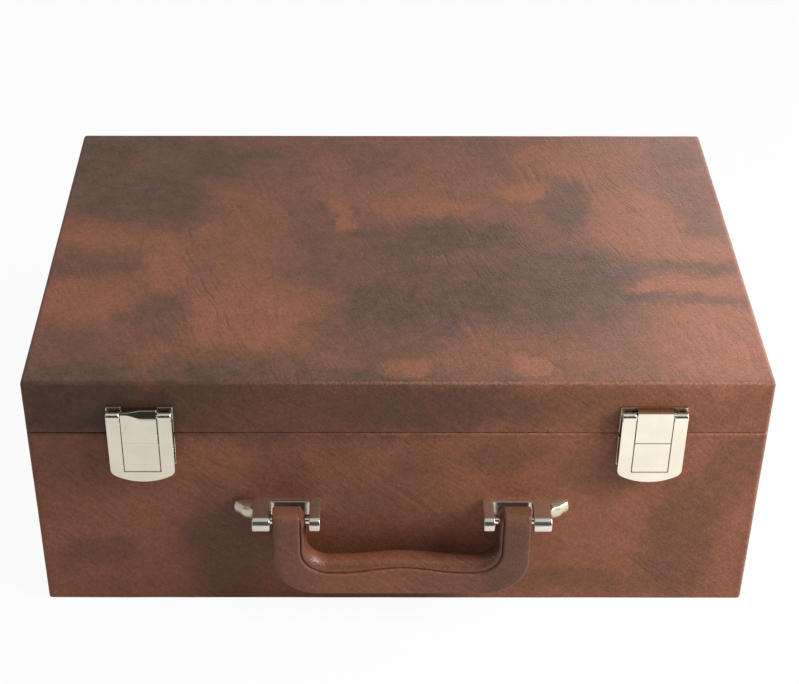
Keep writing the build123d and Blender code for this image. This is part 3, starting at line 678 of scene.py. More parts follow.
def crease_relief(across, up, creases):
    """How deep the creases are, with their raised lips, at a point of the flat they are drawn on."""
    total = 0.0
    for start_x, start_y, end_x, end_y in creases:
        if not min(start_x, end_x) - CREASE_MARGIN < across < max(start_x, end_x) + CREASE_MARGIN:
            continue
        run = Vector((end_x - start_x, end_y - start_y))
        offset = Vector((across - start_x, up - start_y))
        share = offset.dot(run) / run.length_squared
        reach = abs(offset.x * run.y - offset.y * run.x) / run.length / CREASE_WIDTH
        if 0 < share < 1 and reach < CREASE_REACH:
            section = math.exp(-reach * reach) - CREASE_LIP * math.exp(-(reach - CREASE_LIP_PLACE) ** 2)
            total += math.sin(math.pi * share) ** 0.5 * section
    return total * CREASE_DEPTH


def relief(place):
    """How far the leatherette stands off its board: slow waves, a slight unevenness and creases."""
    height = SLOW_WAVE[1] * noise.noise(place * SLOW_WAVE[0])
    height += QUICK_WAVE[1] * noise.noise(place * QUICK_WAVE[0] + ELSEWHERE)
    wander = CREASE_WANDER * noise.noise(place * CREASE_WANDER_SCALE)
    if place.z > TOP - 0.1 * MM:
        height -= crease_relief(place.x / MM + wander, place.y / MM, TOP_CREASES)
    elif place.y < FRONT + 0.1 * MM:
        height -= crease_relief(place.x / MM + wander, place.z / MM, FRONT_CREASES)
    return height * MM


def ring_columns(half_x, half_y):
    """Anchors and outward directions round a rounded rectangle, from the front left corner."""
    corners = [(-half_x, -half_y), (half_x, -half_y), (half_x, half_y), (-half_x, half_y)]
    columns = []
    for index in range(4):
        start = Vector(corners[index])
        end = Vector(corners[(index + 1) % 4])
        steps = round((end - start).length / GRID)
        turn = math.radians(90 * index - 90)
        for step in range(steps + 1):
            columns.append((start.lerp(end, step / steps), turn))
        for angle in arc_steps(CORNER_STEPS)[1:-1]:
            columns.append((end, turn + angle))
    return columns


def skin_row(columns, opening, inset, height, tilt, inward):
    """Places of one row of a shell. It has an inset, a height, the tilt of its normal (None on the
    hidden inside), and its share of the way in to the opening."""
    row = []
    for anchor, turn in columns:
        direction = Vector((math.cos(turn), math.sin(turn)))
        flat = anchor + direction * (EDGE_RADIUS - inset)
        if inward:
            flat = flat.lerp(clamped(flat, -opening, opening), inward)
        place = Vector((flat.x, flat.y, height))
        if tilt is not None:
            normal = Vector((*(direction * math.cos(tilt)), math.sin(tilt)))
            place += normal * relief(place)
        row.append(place)
    return row


def make_skin(name, low, high, profile, opening, cap_height=None):
    """A shell swept round the case. With a cap its ends are closed, and otherwise it closes on itself."""
    half_x = (high.x - low.x) / 2 - EDGE_RADIUS
    half_y = (high.y - low.y) / 2 - EDGE_RADIUS
    columns = ring_columns(half_x, half_y)
    work = bmesh.new()
    rows = []
    for settings in profile:
        rows.append([work.verts.new(place) for place in skin_row(columns, opening, *settings)])
    join_rows(work, rows if cap_height else rows + rows[:1])
    if cap_height:
        add_cap(work, half_x, half_y, cap_height)
        hub = work.verts.new((0, 0, profile[0][1]))
        for index, vert in enumerate(rows[0]):
            work.faces.new((vert, hub, rows[0][(index + 1) % len(columns)]))
    return finish_mesh(name, work, skin_material, sharp=180)


def add_cap(work, half_x, half_y, height):
    """The flat top of a shell as a grid whose rim meets the shell's last row."""
    grid = []
    for y in spread(-half_y, half_y, GRID):
        line = [Vector((x, y, height)) for x in spread(-half_x, half_x, GRID)]
        grid.append([work.verts.new(place + Vector((0, 0, relief(place)))) for place in line])
    join_rows(work, grid, closed=False)


def lower_edge(low):
    """Profile rows round the edge at the bottom of a wall."""
    rounding = zip(quarter(RIM_RADIUS, RIM_STEPS), arc_steps(RIM_STEPS))
    return [(inset, low + rise, angle + DOWN, 0) for (rise, inset), angle in rounding]


def wall_and_edge(low, high, radius, steps):
    """Profile rows up a wall and round the edge at its top."""
    rows = [(0, z, 0.0, 0) for z in spread(low + RIM_RADIUS, high - radius, GRID)[1:-1]]
    rounding = zip(quarter(radius, steps), arc_steps(steps))
    return rows + [(inset, high - drop, angle, 0) for (inset, drop), angle in rounding]


def make_lid_skin():
    """Leatherette over the lid, turned in under its rim."""
    low = lid_low.z
    high = lid_high.z
    profile = [
        (SKIN, high - SKIN, None, 0),
        (SKIN, low + SKIN, None, 0),
        (SKIN, low + SKIN, None, 1),
        (RIM_RADIUS, low, None, 1),
        (RIM_RADIUS, low, DOWN, 0.5),
        *lower_edge(low),
        *wall_and_edge(low, high, EDGE_RADIUS, CORNER_STEPS),
    ]
    return make_skin("lid_skin", lid_low, lid_high, profile, lid_room_high.xy, high)


def make_base_skin():
    """Leatherette round the base, turned in over its rim."""
    low = base_low.z
    high = base_high.z
    profile = [
        (SKIN, low, None, 0),
        *lower_edge(low),
        *wall_and_edge(low, high, RIM_RADIUS, RIM_STEPS),
        (RIM_RADIUS, high, -DOWN, 0.5),
        (RIM_RADIUS, high, None, 1),
        (SKIN, high - SKIN, None, 1),
        (SKIN, high - SKIN, None, 0),
    ]
    return make_skin("base_skin", base_low, base_high, profile, base_room)


dress(make_lid_skin(), "lid", "leatherette", "lid_cover")
dress(make_base_skin(), "base", "leatherette", "base_cover")


# Hardware, with places given in millimetres: across, out from the front face, and up

BEVEL_ANGLE = math.radians(35)
ROUNDING_STEPS = 4


def at(across, out, up):
    """A point in front of the case."""
    return Vector((across * MM, FRONT - out * MM, up * MM))


def soften(made, width, segments=3):
    """Rounded edges on a piece, with its flat faces kept flat."""
    bevel = made.modifiers.new("bevel", "BEVEL")
    bevel.width = width * MM
    bevel.segments = segments
    bevel.limit_method = "ANGLE"
    bevel.angle_limit = BEVEL_ANGLE
    bevel.harden_normals = True
    return made


def thicken(made, thickness, offset):
    """A thickness for an open surface, on its inner side (-1) or shared by both (0)."""
    thick = made.modifiers.new("thickness", "SOLIDIFY")
    thick.thickness = thickness * MM
    thick.offset = offset


def add_prism(work, outline, out_low, out_high):
    """A plate that lies along the front face, from its outline of places across and up."""
    rings = [[work.verts.new(at(x, out, z)) for x, z in outline] for out in (out_low, out_high)]
    join_rows(work, rings, capped=True)


def add_box(work, middle, half, out, up):
    """A box that reaches as far to the left of its middle as to the right."""
    left = middle - half
    right = middle + half
    add_prism(work, [(left, up[0]), (right, up[0]), (right, up[1]), (left, up[1])], *out)


# Latch
LATCH_PIN_UP = (pins_low.z + pins_high.z) / 2 / MM
LATCH_PIN_OUT = (FRONT - (pins_low.y + pins_high.y) / 2) / MM
LATCH_PLATE = 1.0
LATCH_FRONT = 6.4
LATCH_BACK = LATCH_FRONT - LATCH_PLATE
LATCH_BACK_PLATE = 1.2
LATCH_PLATE_SPREAD = 0.45
LATCH_PLATE_EDGE = 0.4
LATCH_RIM_MARGIN = 0.9
LATCH_CHEEK_DROP = 5
LATCH_EDGE = 0.2

# Its knuckles: a clearance to the back plate, the rounding of their collars
KNUCKLE_CLEARANCE = 0.1
KNUCKLE_RADIUS = LATCH_PIN_OUT - LATCH_BACK_PLATE - KNUCKLE_CLEARANCE
KNUCKLE_ROUNDING = 0.6
KNUCKLE_STEPS = 40

# Its lever's outline and window, and the panels in the window
LATCH_WINDOW = 9.95
LATCH_WINDOW_LOW = 97.9
LATCH_SIDE_END = 96.6
LATCH_CORNER = 5.0
LATCH_CORNER_STEPS = 8
LATCH_SWEEP_STEPS = 24
LATCH_GAP = 0.55
PANEL_HALF = LATCH_WINDOW - LATCH_GAP
PANEL_FRONT = LATCH_FRONT - 0.1
PANEL_RIM = 0.05
LATCH_SPLIT = 117.5

# The bridge: its top, the angle of its bend, its shelf's step back and up, and the grid of its panel
BRIDGE_TOP = 137.5
BRIDGE_LEAN = 44
SHELF_STEP = (-0.12, 0.1)
BRIDGE_SPACING = 0.6
BRIDGE_ROWS = 8
BRIDGE_BEND_STEPS = 12

# How far each bridge leans back, from left to right, and how far it sags
SLACK_RANGE = (-7.0, 2.0)
SLACK_LEAN = (1.6, 6.6)
SLACK_SAG = 0.7
TIGHT_LEAN = 0.7

# The tongue, its foot, its cheeks and its hook, and the catch on the base
TONGUE_EDGE = 0.05
TONGUE_CHEEK_OUT = 2.2
TONGUE_CHEEK_DROP = 0.9
FOOT_OVERLAP = 3.0
CATCH_HALF = 4.5
CATCH_OUT = 3.2
CATCH_HEIGHT = 3.4
CATCH_LOW = 104.6
HOOK_GAP = 0.4
HOOK_OUT = 3.4


def lever_outline(middle, half, bottom):
    """The U of a latch lever: straight arms, round corners and a shallow arc below."""
    sag = LATCH_SIDE_END - bottom
    sweep = (half * half + sag * sag) / (2 * sag)
    sweep_up = bottom + sweep
    corner_up = sweep_up - math.sqrt((sweep - LATCH_CORNER) ** 2 - (half - LATCH_CORNER) ** 2)
    end = math.degrees(math.atan2(corner_up - sweep_up, half - LATCH_CORNER))
    right = arc((half - LATCH_CORNER, corner_up), LATCH_CORNER, end, 0, LATCH_CORNER_STEPS)
    below = arc((0, sweep_up), sweep, -180 - end, end, LATCH_SWEEP_STEPS)[1:-1]
    left = [(-x, z) for x, z in reversed(right)]
    outline = [(-half, LATCH_PIN_UP)] + left + below + right + [(half, LATCH_PIN_UP)]
    outline += [(LATCH_WINDOW, LATCH_PIN_UP), (LATCH_WINDOW, LATCH_WINDOW_LOW)]
    outline += [(-LATCH_WINDOW, LATCH_WINDOW_LOW), (-LATCH_WINDOW, LATCH_PIN_UP)]
    return [(middle + x, z) for x, z in outline]


def add_knuckle(work, left, right):
    """A roll round the pin, between two collars with rounded outer edges."""
    collar = [(inset, KNUCKLE_RADIUS - drop) for drop, inset in quarter(KNUCKLE_ROUNDING, ROUNDING_STEPS)]
    profile = [(left + inset, radius) for inset, radius in collar]
    profile += [(right - inset, radius) for inset, radius in reversed(collar)]
    rings = []
    for x, radius in profile:
        ring = arc((LATCH_PIN_OUT, LATCH_PIN_UP), radius, 0, 360, KNUCKLE_STEPS)[:-1]
        rings.append([work.verts.new(at(x, out, up)) for out, up in ring])
    join_rows(work, rings, capped=True)


def make_lever(name, middle, half, bottom):
    """Latch lever with a proud knuckle on each arm."""
    work = bmesh.new()
    add_prism(work, lever_outline(middle, half, bottom), LATCH_BACK, LATCH_FRONT)
    made = soften(finish_mesh(f"latch_{name}_lever", work, nickel_material), LATCH_EDGE)
    work = bmesh.new()
    add_knuckle(work, middle - half, middle - LATCH_WINDOW)
    add_knuckle(work, middle + LATCH_WINDOW, middle + half)
    knuckles = finish_mesh(f"latch_{name}_knuckles", work, knuckle_material)
    dress(made, f"latch_{name}", "nickel", f"latch_lever_{name}")
    dress(knuckles, f"latch_{name}", "nickel")


def make_bridge_panel(name, middle, shift, split, lean_at):
    """Panel in the window's upper half, whose top leans back by an amount that varies across, and the
    shelf behind it that joins it to the lid's plate."""
    left = middle + shift - PANEL_HALF
    right = middle + shift + PANEL_HALF
    work = bmesh.new()
    columns = []
    for x in [left, *spread(left + PANEL_RIM, right - PANEL_RIM, BRIDGE_SPACING), right]:
        lean, sag = lean_at(x - middle)
        top = BRIDGE_TOP - sag
        bend = lean / math.sin(math.radians(BRIDGE_LEAN))
        foot = split + PANEL_RIM
        rise = top - lean - foot
        row = [(PANEL_FRONT, split)]
        row += [(PANEL_FRONT, foot + rise * step / BRIDGE_ROWS) for step in range(BRIDGE_ROWS + 1)]
        row += arc((PANEL_FRONT - bend, top - lean), bend, 0, BRIDGE_LEAN, BRIDGE_BEND_STEPS)[1:]
        row += [(row[-1][0] + SHELF_STEP[0], top + SHELF_STEP[1]), (LATCH_BACK_PLATE, top + SHELF_STEP[1])]
        columns.append([work.verts.new(at(x, out, up)) for out, up in row])
    join_rows(work, columns, closed=False)
    panel = finish_mesh(f"latch_{name}_bridge", work, nickel_material, sharp=35)
    if sum(face.normal.y for face in panel.data.polygons) > 0:
        panel.data.flip_normals()
    thicken(panel, LATCH_PLATE, -1)
    dress(panel, "lid", "nickel")


def add_cheeks(work, middle, out, low, high):
    """Two cheeks beside the window, from behind it forward to the lever's back."""
    half = LATCH_PLATE / 2
    for side in (-1, 1):
        add_box(work, middle + side * (PANEL_HALF - half), half, (out, LATCH_BACK), (low, high))


def make_lid_plate(name, middle, half, notch):
    """Plate on the lid, notched above the bridge, and the cheeks that carry the pin."""
    low = lid_low.z / MM + LATCH_RIM_MARGIN
    half += LATCH_PLATE_SPREAD
    outline = [(-half, low), (half, low), (half, BRIDGE_TOP), (PANEL_HALF, BRIDGE_TOP)]
    if notch:
        outline += [(PANEL_HALF, BRIDGE_TOP - notch), (-PANEL_HALF, BRIDGE_TOP - notch)]
    outline += [(-PANEL_HALF, BRIDGE_TOP), (-half, BRIDGE_TOP)]
    work = bmesh.new()
    add_prism(work, [(middle + x, z) for x, z in outline], 0, LATCH_BACK_PLATE)
    add_cheeks(work, middle, LATCH_BACK_PLATE, low, BRIDGE_TOP - LATCH_CHEEK_DROP)
    made = soften(finish_mesh(f"latch_{name}_lid_plate", work, plate_material), LATCH_PLATE_EDGE)
    dress(made, "lid", "nickel", f"latch_lid_plate_{name}")


def make_tongue(name, middle, shift, split, foot_low):
    """Panel in the window's lower half, with its hook, on a foot behind the lever."""
    low = LATCH_WINDOW_LOW + LATCH_GAP
    foot_high = low + FOOT_OVERLAP
    hook_high = CATCH_LOW - HOOK_GAP
    work = bmesh.new()
    add_box(work, middle + shift, PANEL_HALF, (PANEL_FRONT - LATCH_PLATE, PANEL_FRONT), (low, split))
    add_box(work, middle, PANEL_HALF, (LATCH_BACK - LATCH_PLATE, LATCH_BACK), (foot_low, foot_high))
    add_cheeks(work, middle, TONGUE_CHEEK_OUT, foot_high, split - TONGUE_CHEEK_DROP)
    add_box(work, middle, CATCH_HALF, (HOOK_OUT, LATCH_BACK), (hook_high - LATCH_PLATE, hook_high))
    made = soften(finish_mesh(f"latch_{name}_tongue", work, nickel_material), TONGUE_EDGE, 2)
    dress(made, f"latch_{name}", "nickel", f"latch_tongue_{name}")


def make_base_plate(name, middle, half, low):
    """Plate on the base, with its catch."""
    high = base_high.z / MM - LATCH_RIM_MARGIN
    work = bmesh.new()
    add_box(work, middle, half + LATCH_PLATE_SPREAD, (0, LATCH_BACK_PLATE), (low, high))
    add_box(work, middle, CATCH_HALF, (0, CATCH_OUT), (CATCH_LOW, CATCH_LOW + CATCH_HEIGHT))
    made = soften(finish_mesh(f"latch_{name}_base_plate", work, plate_material), LATCH_PLATE_EDGE)
    dress(made, "base", "nickel", f"latch_base_plate_{name}")


def slack_lean(across):
    """The left bridge sags, and leans back loosely on its right side."""
    share = (across - SLACK_RANGE[0]) / (SLACK_RANGE[1] - SLACK_RANGE[0])
    share = min(1, max(0, share))
    share = share * share * (3 - 2 * share)
    return SLACK_LEAN[0] + (SLACK_LEAN[1] - SLACK_LEAN[0]) * share, SLACK_SAG


def tight_lean(across):
    """The right bridge leans back only at its edge."""
    return TIGHT_LEAN, 0.0


def make_latch(name, shift, split_gap, lean_at, notch):
    """A latch, round the place of its lever in the frame."""
    low, high = (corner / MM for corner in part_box(f"latch_lever_{name}"))
    middle = (low.x + high.x) / 2
    half = (high.x - low.x) / 2
    make_lever(name, middle, half, low.z)
    make_lid_plate(name, middle, half, notch)
    make_bridge_panel(name, middle, shift, LATCH_SPLIT + split_gap / 2, lean_at)
    make_tongue(name, middle, shift, LATCH_SPLIT - split_gap / 2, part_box(f"latch_tongue_{name}")[0].z / MM)
    make_base_plate(name, middle, half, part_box(f"latch_base_plate_{name}")[0].z / MM)


# The shift of each latch's panels in the window, the gap between them, the lean and the notch
make_latch("left", -0.12, -0.1, slack_lean, 1.0)
make_latch("right", 0.08, 0.46, tight_lean, 0)

# Handle brackets, with places across from the handle's middle
BRACKET_EARS = ((44.2, 50.1), (71.2, 80.8))
HANDLE_UP = 69.8
EAR_RADIUS = 4.7
EAR_REACH = 15.3
EAR_ROUNDING = 0.6
EAR_STEPS = 24
BRACKET_BACK = -0.3
WEB = 3.3
WEB_INSET = 0.7
WEB_LOWER = 0.1
WEB_EDGE = 0.45

# The leaf's plan, from the ear over its tip to the wall, and its side
WING_START = (79.4, 11.9)
WING_TIP = (89.3, 3.5)
WING_END = (90.6, -0.3)
WING_HOLLOW = 0.8
WING_HOLLOW_SHARE = 1.7
WING_LOWER = 0.05
WING_HEIGHT = 13.0
WING_THIN = 0.35
WING_THIN_SHARE = 1.5
WING_END_THINNING = 0.08
WING_SHORT = 0.72
WING_LIP = 0.35
WING_BULGE = 1.5
WING_BULGE_POWER = 0.75
WING_TUCK = 7.5
WING_TUCK_POWER = 2.6
WING_RIM = 0.3
WING_ROOT = 1.5
WING_STEPS = 18
WING_END_STEPS = 8
SECTION_STEPS = 18


def add_ear(work, start, end, side):
    """An ear with a round nose and rounded sides."""
    sections = [(start + inset, EAR_RADIUS - drop) for inset, drop in quarter(EAR_ROUNDING, ROUNDING_STEPS)]
    sections += [(end - (x - start), radius) for x, radius in reversed(sections)]
    rings = []
    for x, radius in sections:
        nose = arc((EAR_REACH, 0), radius, -90, 90, EAR_STEPS)
        ring = [(BRACKET_BACK, -radius), *nose, (BRACKET_BACK, radius)]
        rings.append([work.verts.new(at(HANDLE_MIDDLE + side * x, out, HANDLE_UP + up)) for out, up in ring])
    join_rows(work, rings, capped=True)


def wing_path():
    """Plan of the leaf's upper edge, from the ear to the wall: the place, the outward direction and how
    full the side below it is."""
    start = Vector(WING_START)
    tip = Vector(WING_TIP)
    run = tip - start
    outward = Vector((-run.y, run.x)).normalized()
    path = []
    for step in range(WING_STEPS + 1):
        share = step / WING_STEPS
        hollow = WING_HOLLOW * math.sin(math.pi * min(1, share * WING_HOLLOW_SHARE))
        fullness = WING_THIN + (1 - WING_THIN) * min(1, share * WING_THIN_SHARE)
        path.append((start + run * share - outward * hollow, outward, fullness))
    reach = Vector(WING_END) - tip
    for step, turn in enumerate(arc_steps(WING_END_STEPS)[1:], 1):
        share = step / WING_END_STEPS
        place = tip + Vector((reach.x * math.sin(turn), reach.y * (1 - math.cos(turn))))
        path.append((place, outward.lerp(Vector((1, 0)), share).normalized(), 1 - WING_END_THINNING * share))
    return path


def add_wing(work, side):
    """The leaf on the outer side: a flat top that narrows in a hollow curve, and a side that swells and
    rolls under."""
    top = HANDLE_UP + EAR_RADIUS - WING_LOWER
    rows = []
    for place, outward, fullness in wing_path():
        row = [work.verts.new(at(HANDLE_MIDDLE + side * place.x, place.y, top))]
        for step in range(SECTION_STEPS + 1):
            share = step / SECTION_STEPS
            swell = WING_BULGE * math.sin(math.pi * share ** WING_BULGE_POWER)
            swell -= WING_TUCK * share ** WING_TUCK_POWER
            point = place + outward * (WING_LIP + swell) * fullness
            out = max(BRACKET_BACK, point.y)
            drop = WING_RIM + WING_HEIGHT * (WING_SHORT + (1 - WING_SHORT) * fullness) * share
            row.append(work.verts.new(at(HANDLE_MIDDLE + side * point.x, out, top - drop)))
        rows.append(row)
    join_rows(work, rows, closed=False)
    root = work.verts.new(at(HANDLE_MIDDLE + side * (WING_START[0] - WING_ROOT), BRACKET_BACK, top))
    for row, beside in zip(rows, rows[1:]):
        work.faces.new((root, row[0], beside[0]))


def make_bracket(name, side):
    """Handle bracket: two ears on a web, and the wing."""
    work = bmesh.new()
    for start, end in BRACKET_EARS:
        add_ear(work, start, end, side)
    ears = finish_mesh(f"bracket_{name}_ears", work, bracket_material)
    work = bmesh.new()
    start, end = BRACKET_EARS[0][0], BRACKET_EARS[1][1]
    middle = HANDLE_MIDDLE + side * (start + end) / 2
    rise = EAR_RADIUS - WEB_LOWER
    web_up = (HANDLE_UP - rise, HANDLE_UP + rise)
    add_box(work, middle, (end - start) / 2 - WEB_INSET, (BRACKET_BACK, WEB), web_up)
    web = soften(finish_mesh(f"bracket_{name}_web", work, bracket_material), WEB_EDGE)
    work = bmesh.new()
    add_wing(work, side)
    wing = finish_mesh(f"bracket_{name}_wing", work, wing_material)
    dress(ears, "base", "nickel", f"handle_bracket_{name}")
    dress(web, "base", "nickel")
    dress(wing, "base", "nickel")


for name, side in (("left", -1), ("right", 1)):
    make_bracket(name, side)

# Handle: three matched curves run along the U, its outer edge, the welt's seam and the inner side. Each
# has an inset, the radius of its corner, the height of its bottom and how far that swells
HANDLE_OUT = 13.2
HANDLE_DEPTH = 6.8
HANDLE_HALF = 69.9
OUTER_CURVE = (0, 24.0, 21.6, 0)
SEAM_CURVE = (15.0, 15.4, 36.7, 3.9)
INNER_CURVE = (18.0, 12.2, 43.5, 2.0)
SWELL_HALF = 33.0
ARM_STEPS = 22
CORNER_TURN_STEPS = 22
GRIP_STEPS = 34
TOP_STEPS = 9
ARM_NOTCH = (3.4, 5.7)
SEAM_MARGIN = 0.6

# Its section: the rounding of the back edges, the face's rows, the bead before the seam, and the welt
FACE_EDGE = 1.6
FACE_EDGE_STEPS = 5
FACE_ROWS = (0.3, 0.55, 0.75)
BEAD_ROWS = ((0.86, 0.02), (0.91, 0.06), (0.95, -0.08))
SEAM_ROW = (0.975, -0.55)
BACK_ROWS = (1.0, 0.7, 0.4)
WELT_DEPTH = 1.25
WELT_SHARE = 0.42
WELT_STEPS = 18
BACK_STEPS = 12
ROLL_POWER = 0.9


def grip_curve(inset, corner, bottom, swell):
    """Half of a curve along the U, from the arm's top to the grip's middle, as places from the middle
    with a share of the depth."""
    x = -HANDLE_HALF + inset
    corner_up = bottom + corner
    points = []
    for step in range(TOP_STEPS):
        turn = math.radians(90) * (1 - step / TOP_STEPS)
        points.append((x, HANDLE_UP + HANDLE_DEPTH * math.sin(turn), math.cos(turn) ** 0.5))
    for step in range(ARM_STEPS):
        points.append((x, HANDLE_UP + (corner_up - HANDLE_UP) * step / ARM_STEPS, 1.0))
    for place in arc((x + corner, corner_up), corner, 180, 270, CORNER_TURN_STEPS)[:-1]:
        points.append((*place, 1.0))
    for step in range(GRIP_STEPS + 1):
        across = (x + corner) * (1 - step / GRIP_STEPS)
        rise = math.cos(math.pi * across / (2 * SWELL_HALF)) ** 2 if abs(across) < SWELL_HALF else 0.0
        points.append((across, bottom + swell * rise, 1.0))
    return points


def grip_section():
    """The handle's section: the share of the way from outer edge to seam (0 to 1) to inner side (2),
    a distance in from the outer edge, the depth from the middle plane, and whether it is the welt."""
    half = HANDLE_DEPTH
    edge = [(inset, half - drop) for drop, inset in quarter(FACE_EDGE, FACE_EDGE_STEPS)]
    section = [(0, inset, -depth, False) for inset, depth in edge]
    section += [(0, inset, depth, False) for inset, depth in reversed(edge)]
    section += [(share, 0, half, False) for share in FACE_ROWS]
    section += [(share, 0, half + rise, False) for share, rise in BEAD_ROWS]
    section += [(SEAM_ROW[0], 0, half + SEAM_ROW[1], True), (1.0, 0, half - WELT_DEPTH, True)]
    for turn in arc_steps(WELT_STEPS)[1:]:
        share = math.sin(turn)
        sink = WELT_DEPTH * (1 - share / WELT_SHARE) ** 2 if share < WELT_SHARE else 0
        section.append((1 + share, 0, half * max(0, math.cos(turn)) ** ROLL_POWER - sink, True))
    for turn in arc_steps(BACK_STEPS)[1:-1]:
        section.append((1 + math.cos(turn), 0, -half * math.sin(turn) ** ROLL_POWER, True))
    section += [(share, 0, -half, False) for share in BACK_ROWS]
    return section


def grip_stations():
    """Matched places on the outer edge, the seam and the inner side, with the share of the depth."""
    stations = []
    notch_width, notch_height = ARM_NOTCH
    notch_low = HANDLE_UP + HANDLE_DEPTH - notch_height
    curves = [grip_curve(*settings) for settings in (OUTER_CURVE, SEAM_CURVE, INNER_CURVE)]
    for outer, seam, inner in zip(*curves):
        end = Vector(inner[:2])
        end.x -= notch_width * max(0, (end.y - notch_low) / notch_height)
        middle = Vector((min(seam[0], end.x - SEAM_MARGIN), seam[1]))
        stations.append((Vector(outer[:2]), middle, end, outer[2]))
    mirrored = []
    for *places, depth_share in reversed(stations[:-1]):
        mirrored.append((*(Vector((-place.x, place.y)) for place in places), depth_share))
    return stations + mirrored


def make_handle_skin():
    """Leatherette round the handle: a flat face, and a welt rolled along its inner side."""
    section = grip_section()
    work = bmesh.new()
    rings = []
    for start, middle, end, depth_share in grip_stations():
        across = (middle - start).normalized()
        ring = []
        for share, inset, depth, _ in section:
            place = start.lerp(middle, share) + across * inset if share <= 1 else middle.lerp(end, share - 1)
            out = HANDLE_OUT + depth * depth_share
            ring.append(work.verts.new(at(HANDLE_MIDDLE + place.x, out, place.y)))
        rings.append(ring)
    for index, face in enumerate(join_rows(work, rings)):
        face.material_index = int(section[index % len(section)][3])
    made = finish_mesh("handle_skin", work, grip_face_material, grip_roll_material, sharp=80)
    dress(made, "handle", "leatherette", "handle_grip")


make_handle_skin()


def node_solids(node):
    """Lower and upper corners, in millimetres, of the separate solids in a frame node."""
    source = frame["nodes"][node]
    work = bmesh.new()
    work.from_mesh(source.data)
    bmesh.ops.remove_doubles(work, verts=work.verts, dist=MERGE_REACH)
    work.transform(source.matrix_world)
    seen = set()
    solids = []
    for vert in work.verts:
        if vert in seen:
            continue
        seen.add(vert)
        group = [vert]
        for member in group:
            for edge in member.link_edges:
                other = edge.other_vert(member)
                if other not in seen:
                    seen.add(other)
                    group.append(other)
        columns = list(zip(*(member.co / MM for member in group)))
        solids.append([Vector([limit(column) for column in columns]) for limit in (min, max)])
    work.free()
    return solids


# Slotted heads on the hinge screws, with the scale and the stand of each of a head's rows
HEAD_ROWS = ((1.0, -0.1), (1.0, 0.15), (0.93, 0.28), (0.80, 0.35))
HEAD_STEPS = 20
SLOT_HALF = 0.32
SLOT_TURNS = (12, 64, -35, 80, 25, -70)


def make_screw_heads(node, body):
    """A raised head, split by its slot, on each screw of a frame node."""
    work = bmesh.new()
    for index, (low, high) in enumerate(node_solids(node)):
        middle = (low + high) / 2
        radius = (high.x - low.x) / 2
        turn = Matrix.Rotation(math.radians(SLOT_TURNS[index % len(SLOT_TURNS)]), 2)
        edge = math.degrees(math.asin(SLOT_HALF / radius))
        outline = arc((0, 0), radius, edge, 180 - edge, HEAD_STEPS)
        for side in (1, -1):
            rings = []
            for scale, stand in HEAD_ROWS:
                ring = []
                for x, z in outline:
                    place = side * (turn @ Vector((x * scale, z * scale + SLOT_HALF * (1 - scale))))
                    ring.append(work.verts.new(mm(middle.x + place.x, high.y + stand, middle.z + place.y)))
                rings.append(ring)
            join_rows(work, rings, capped=True)
    dress(finish_mesh(f"{node}_heads", work, steel_material, sharp=40), body, "steel")


# Lining: velvet-covered boards, the cushion in the lid, and the tray's ribbons

BOARD_ROUNDING = 0.9
BOARD_ROUNDING_SHARE = 0.45
BOARD_EDGE_STEPS = 3
BOARD_SPACING = 7.0
BOARD_WAVE = 0.12
BOARD_WAVE_SCALE = 0.05
BAND = 1.0

# The cushion: the depth of its edge, how its sides and face round and pull in, its grid, the shares of
# its depth that have a row, and the puckers near its edge
PAD_EDGE = 7.5
PAD_ROUNDING = 3.2
PAD_RIM_POWER = 24
PAD_PULL = (0.010, 0.015)
PAD_TUCK = 0.012
PAD_FULLEST = 0.9
PAD_STEPS = (110, 74)
PAD_CLOSENESS = 0.4
PAD_LAYERS = (0.0, 0.3, 0.6, 0.8, 0.93, 1.0)
PAD_CROWN_POWER = 5
PUCKER = 0.45
PUCKER_SCALE = 0.05

# The ribbons: their fold as places in from the wall and up, and their grid
RIBBON_THICKNESS = 0.5
RIBBON_INSET = 0.2
RIBBON_SPACING = 2.0
RIBBON_ROWS = 6
RIBBON_FOLD = [
    (0.5, 116.0), (0.6, 120.0), (0.9, 123.4), (1.6, 125.3), (2.5, 125.3),
    (3.0, 123.4), (2.7, 120.0), (1.9, 116.6), (1.5, 114.6),
]


def face_rows(low, high, rounding):
    """Places of the grid lines along one side of a rounded board, close together at its ends."""
    ends = [inset for inset, _ in quarter(rounding, BOARD_EDGE_STEPS)]
    rows = [low + inset for inset in ends]
    rows += spread(low + rounding, high - rounding, BOARD_SPACING)[1:-1]
    return rows + [high - inset for inset in reversed(ends)]


def add_board(work, low, high):
    """A thin board covered in velvet: its edges are round, and its sides a little uneven."""
    rounding = min(BOARD_ROUNDING, BOARD_ROUNDING_SHARE * min(high - low))
    inset = Vector((rounding,) * 3)
    rows = [face_rows(low[axis], high[axis], rounding) for axis in range(3)]
    for axis in range(3):
        first, second = (other for other in range(3) if other != axis)
        for end in (low[axis], high[axis]):
            grid = []
            for u in rows[first]:
                line = []
                for v in rows[second]:
                    place = Vector((0, 0, 0))
                    place[axis], place[first], place[second] = end, u, v
                    core = clamped(place, low + inset, high - inset)
                    sink = BOARD_WAVE * (0.5 + 0.5 * noise.noise(core * BOARD_WAVE_SCALE))
                    line.append(work.verts.new((core + (place - core).normalized() * (rounding - sink)) * MM))
                grid.append(line)
            join_rows(work, grid, closed=False)


def make_boards(node, body, solids):
    """The velvet-covered boards that stand for one node."""
    work = bmesh.new()
    for low, high in solids:
        add_board(work, low, high)
    dress(finish_mesh(f"velvet_{node}", work, velvet_material, sharp=80), body, "velvet", node)


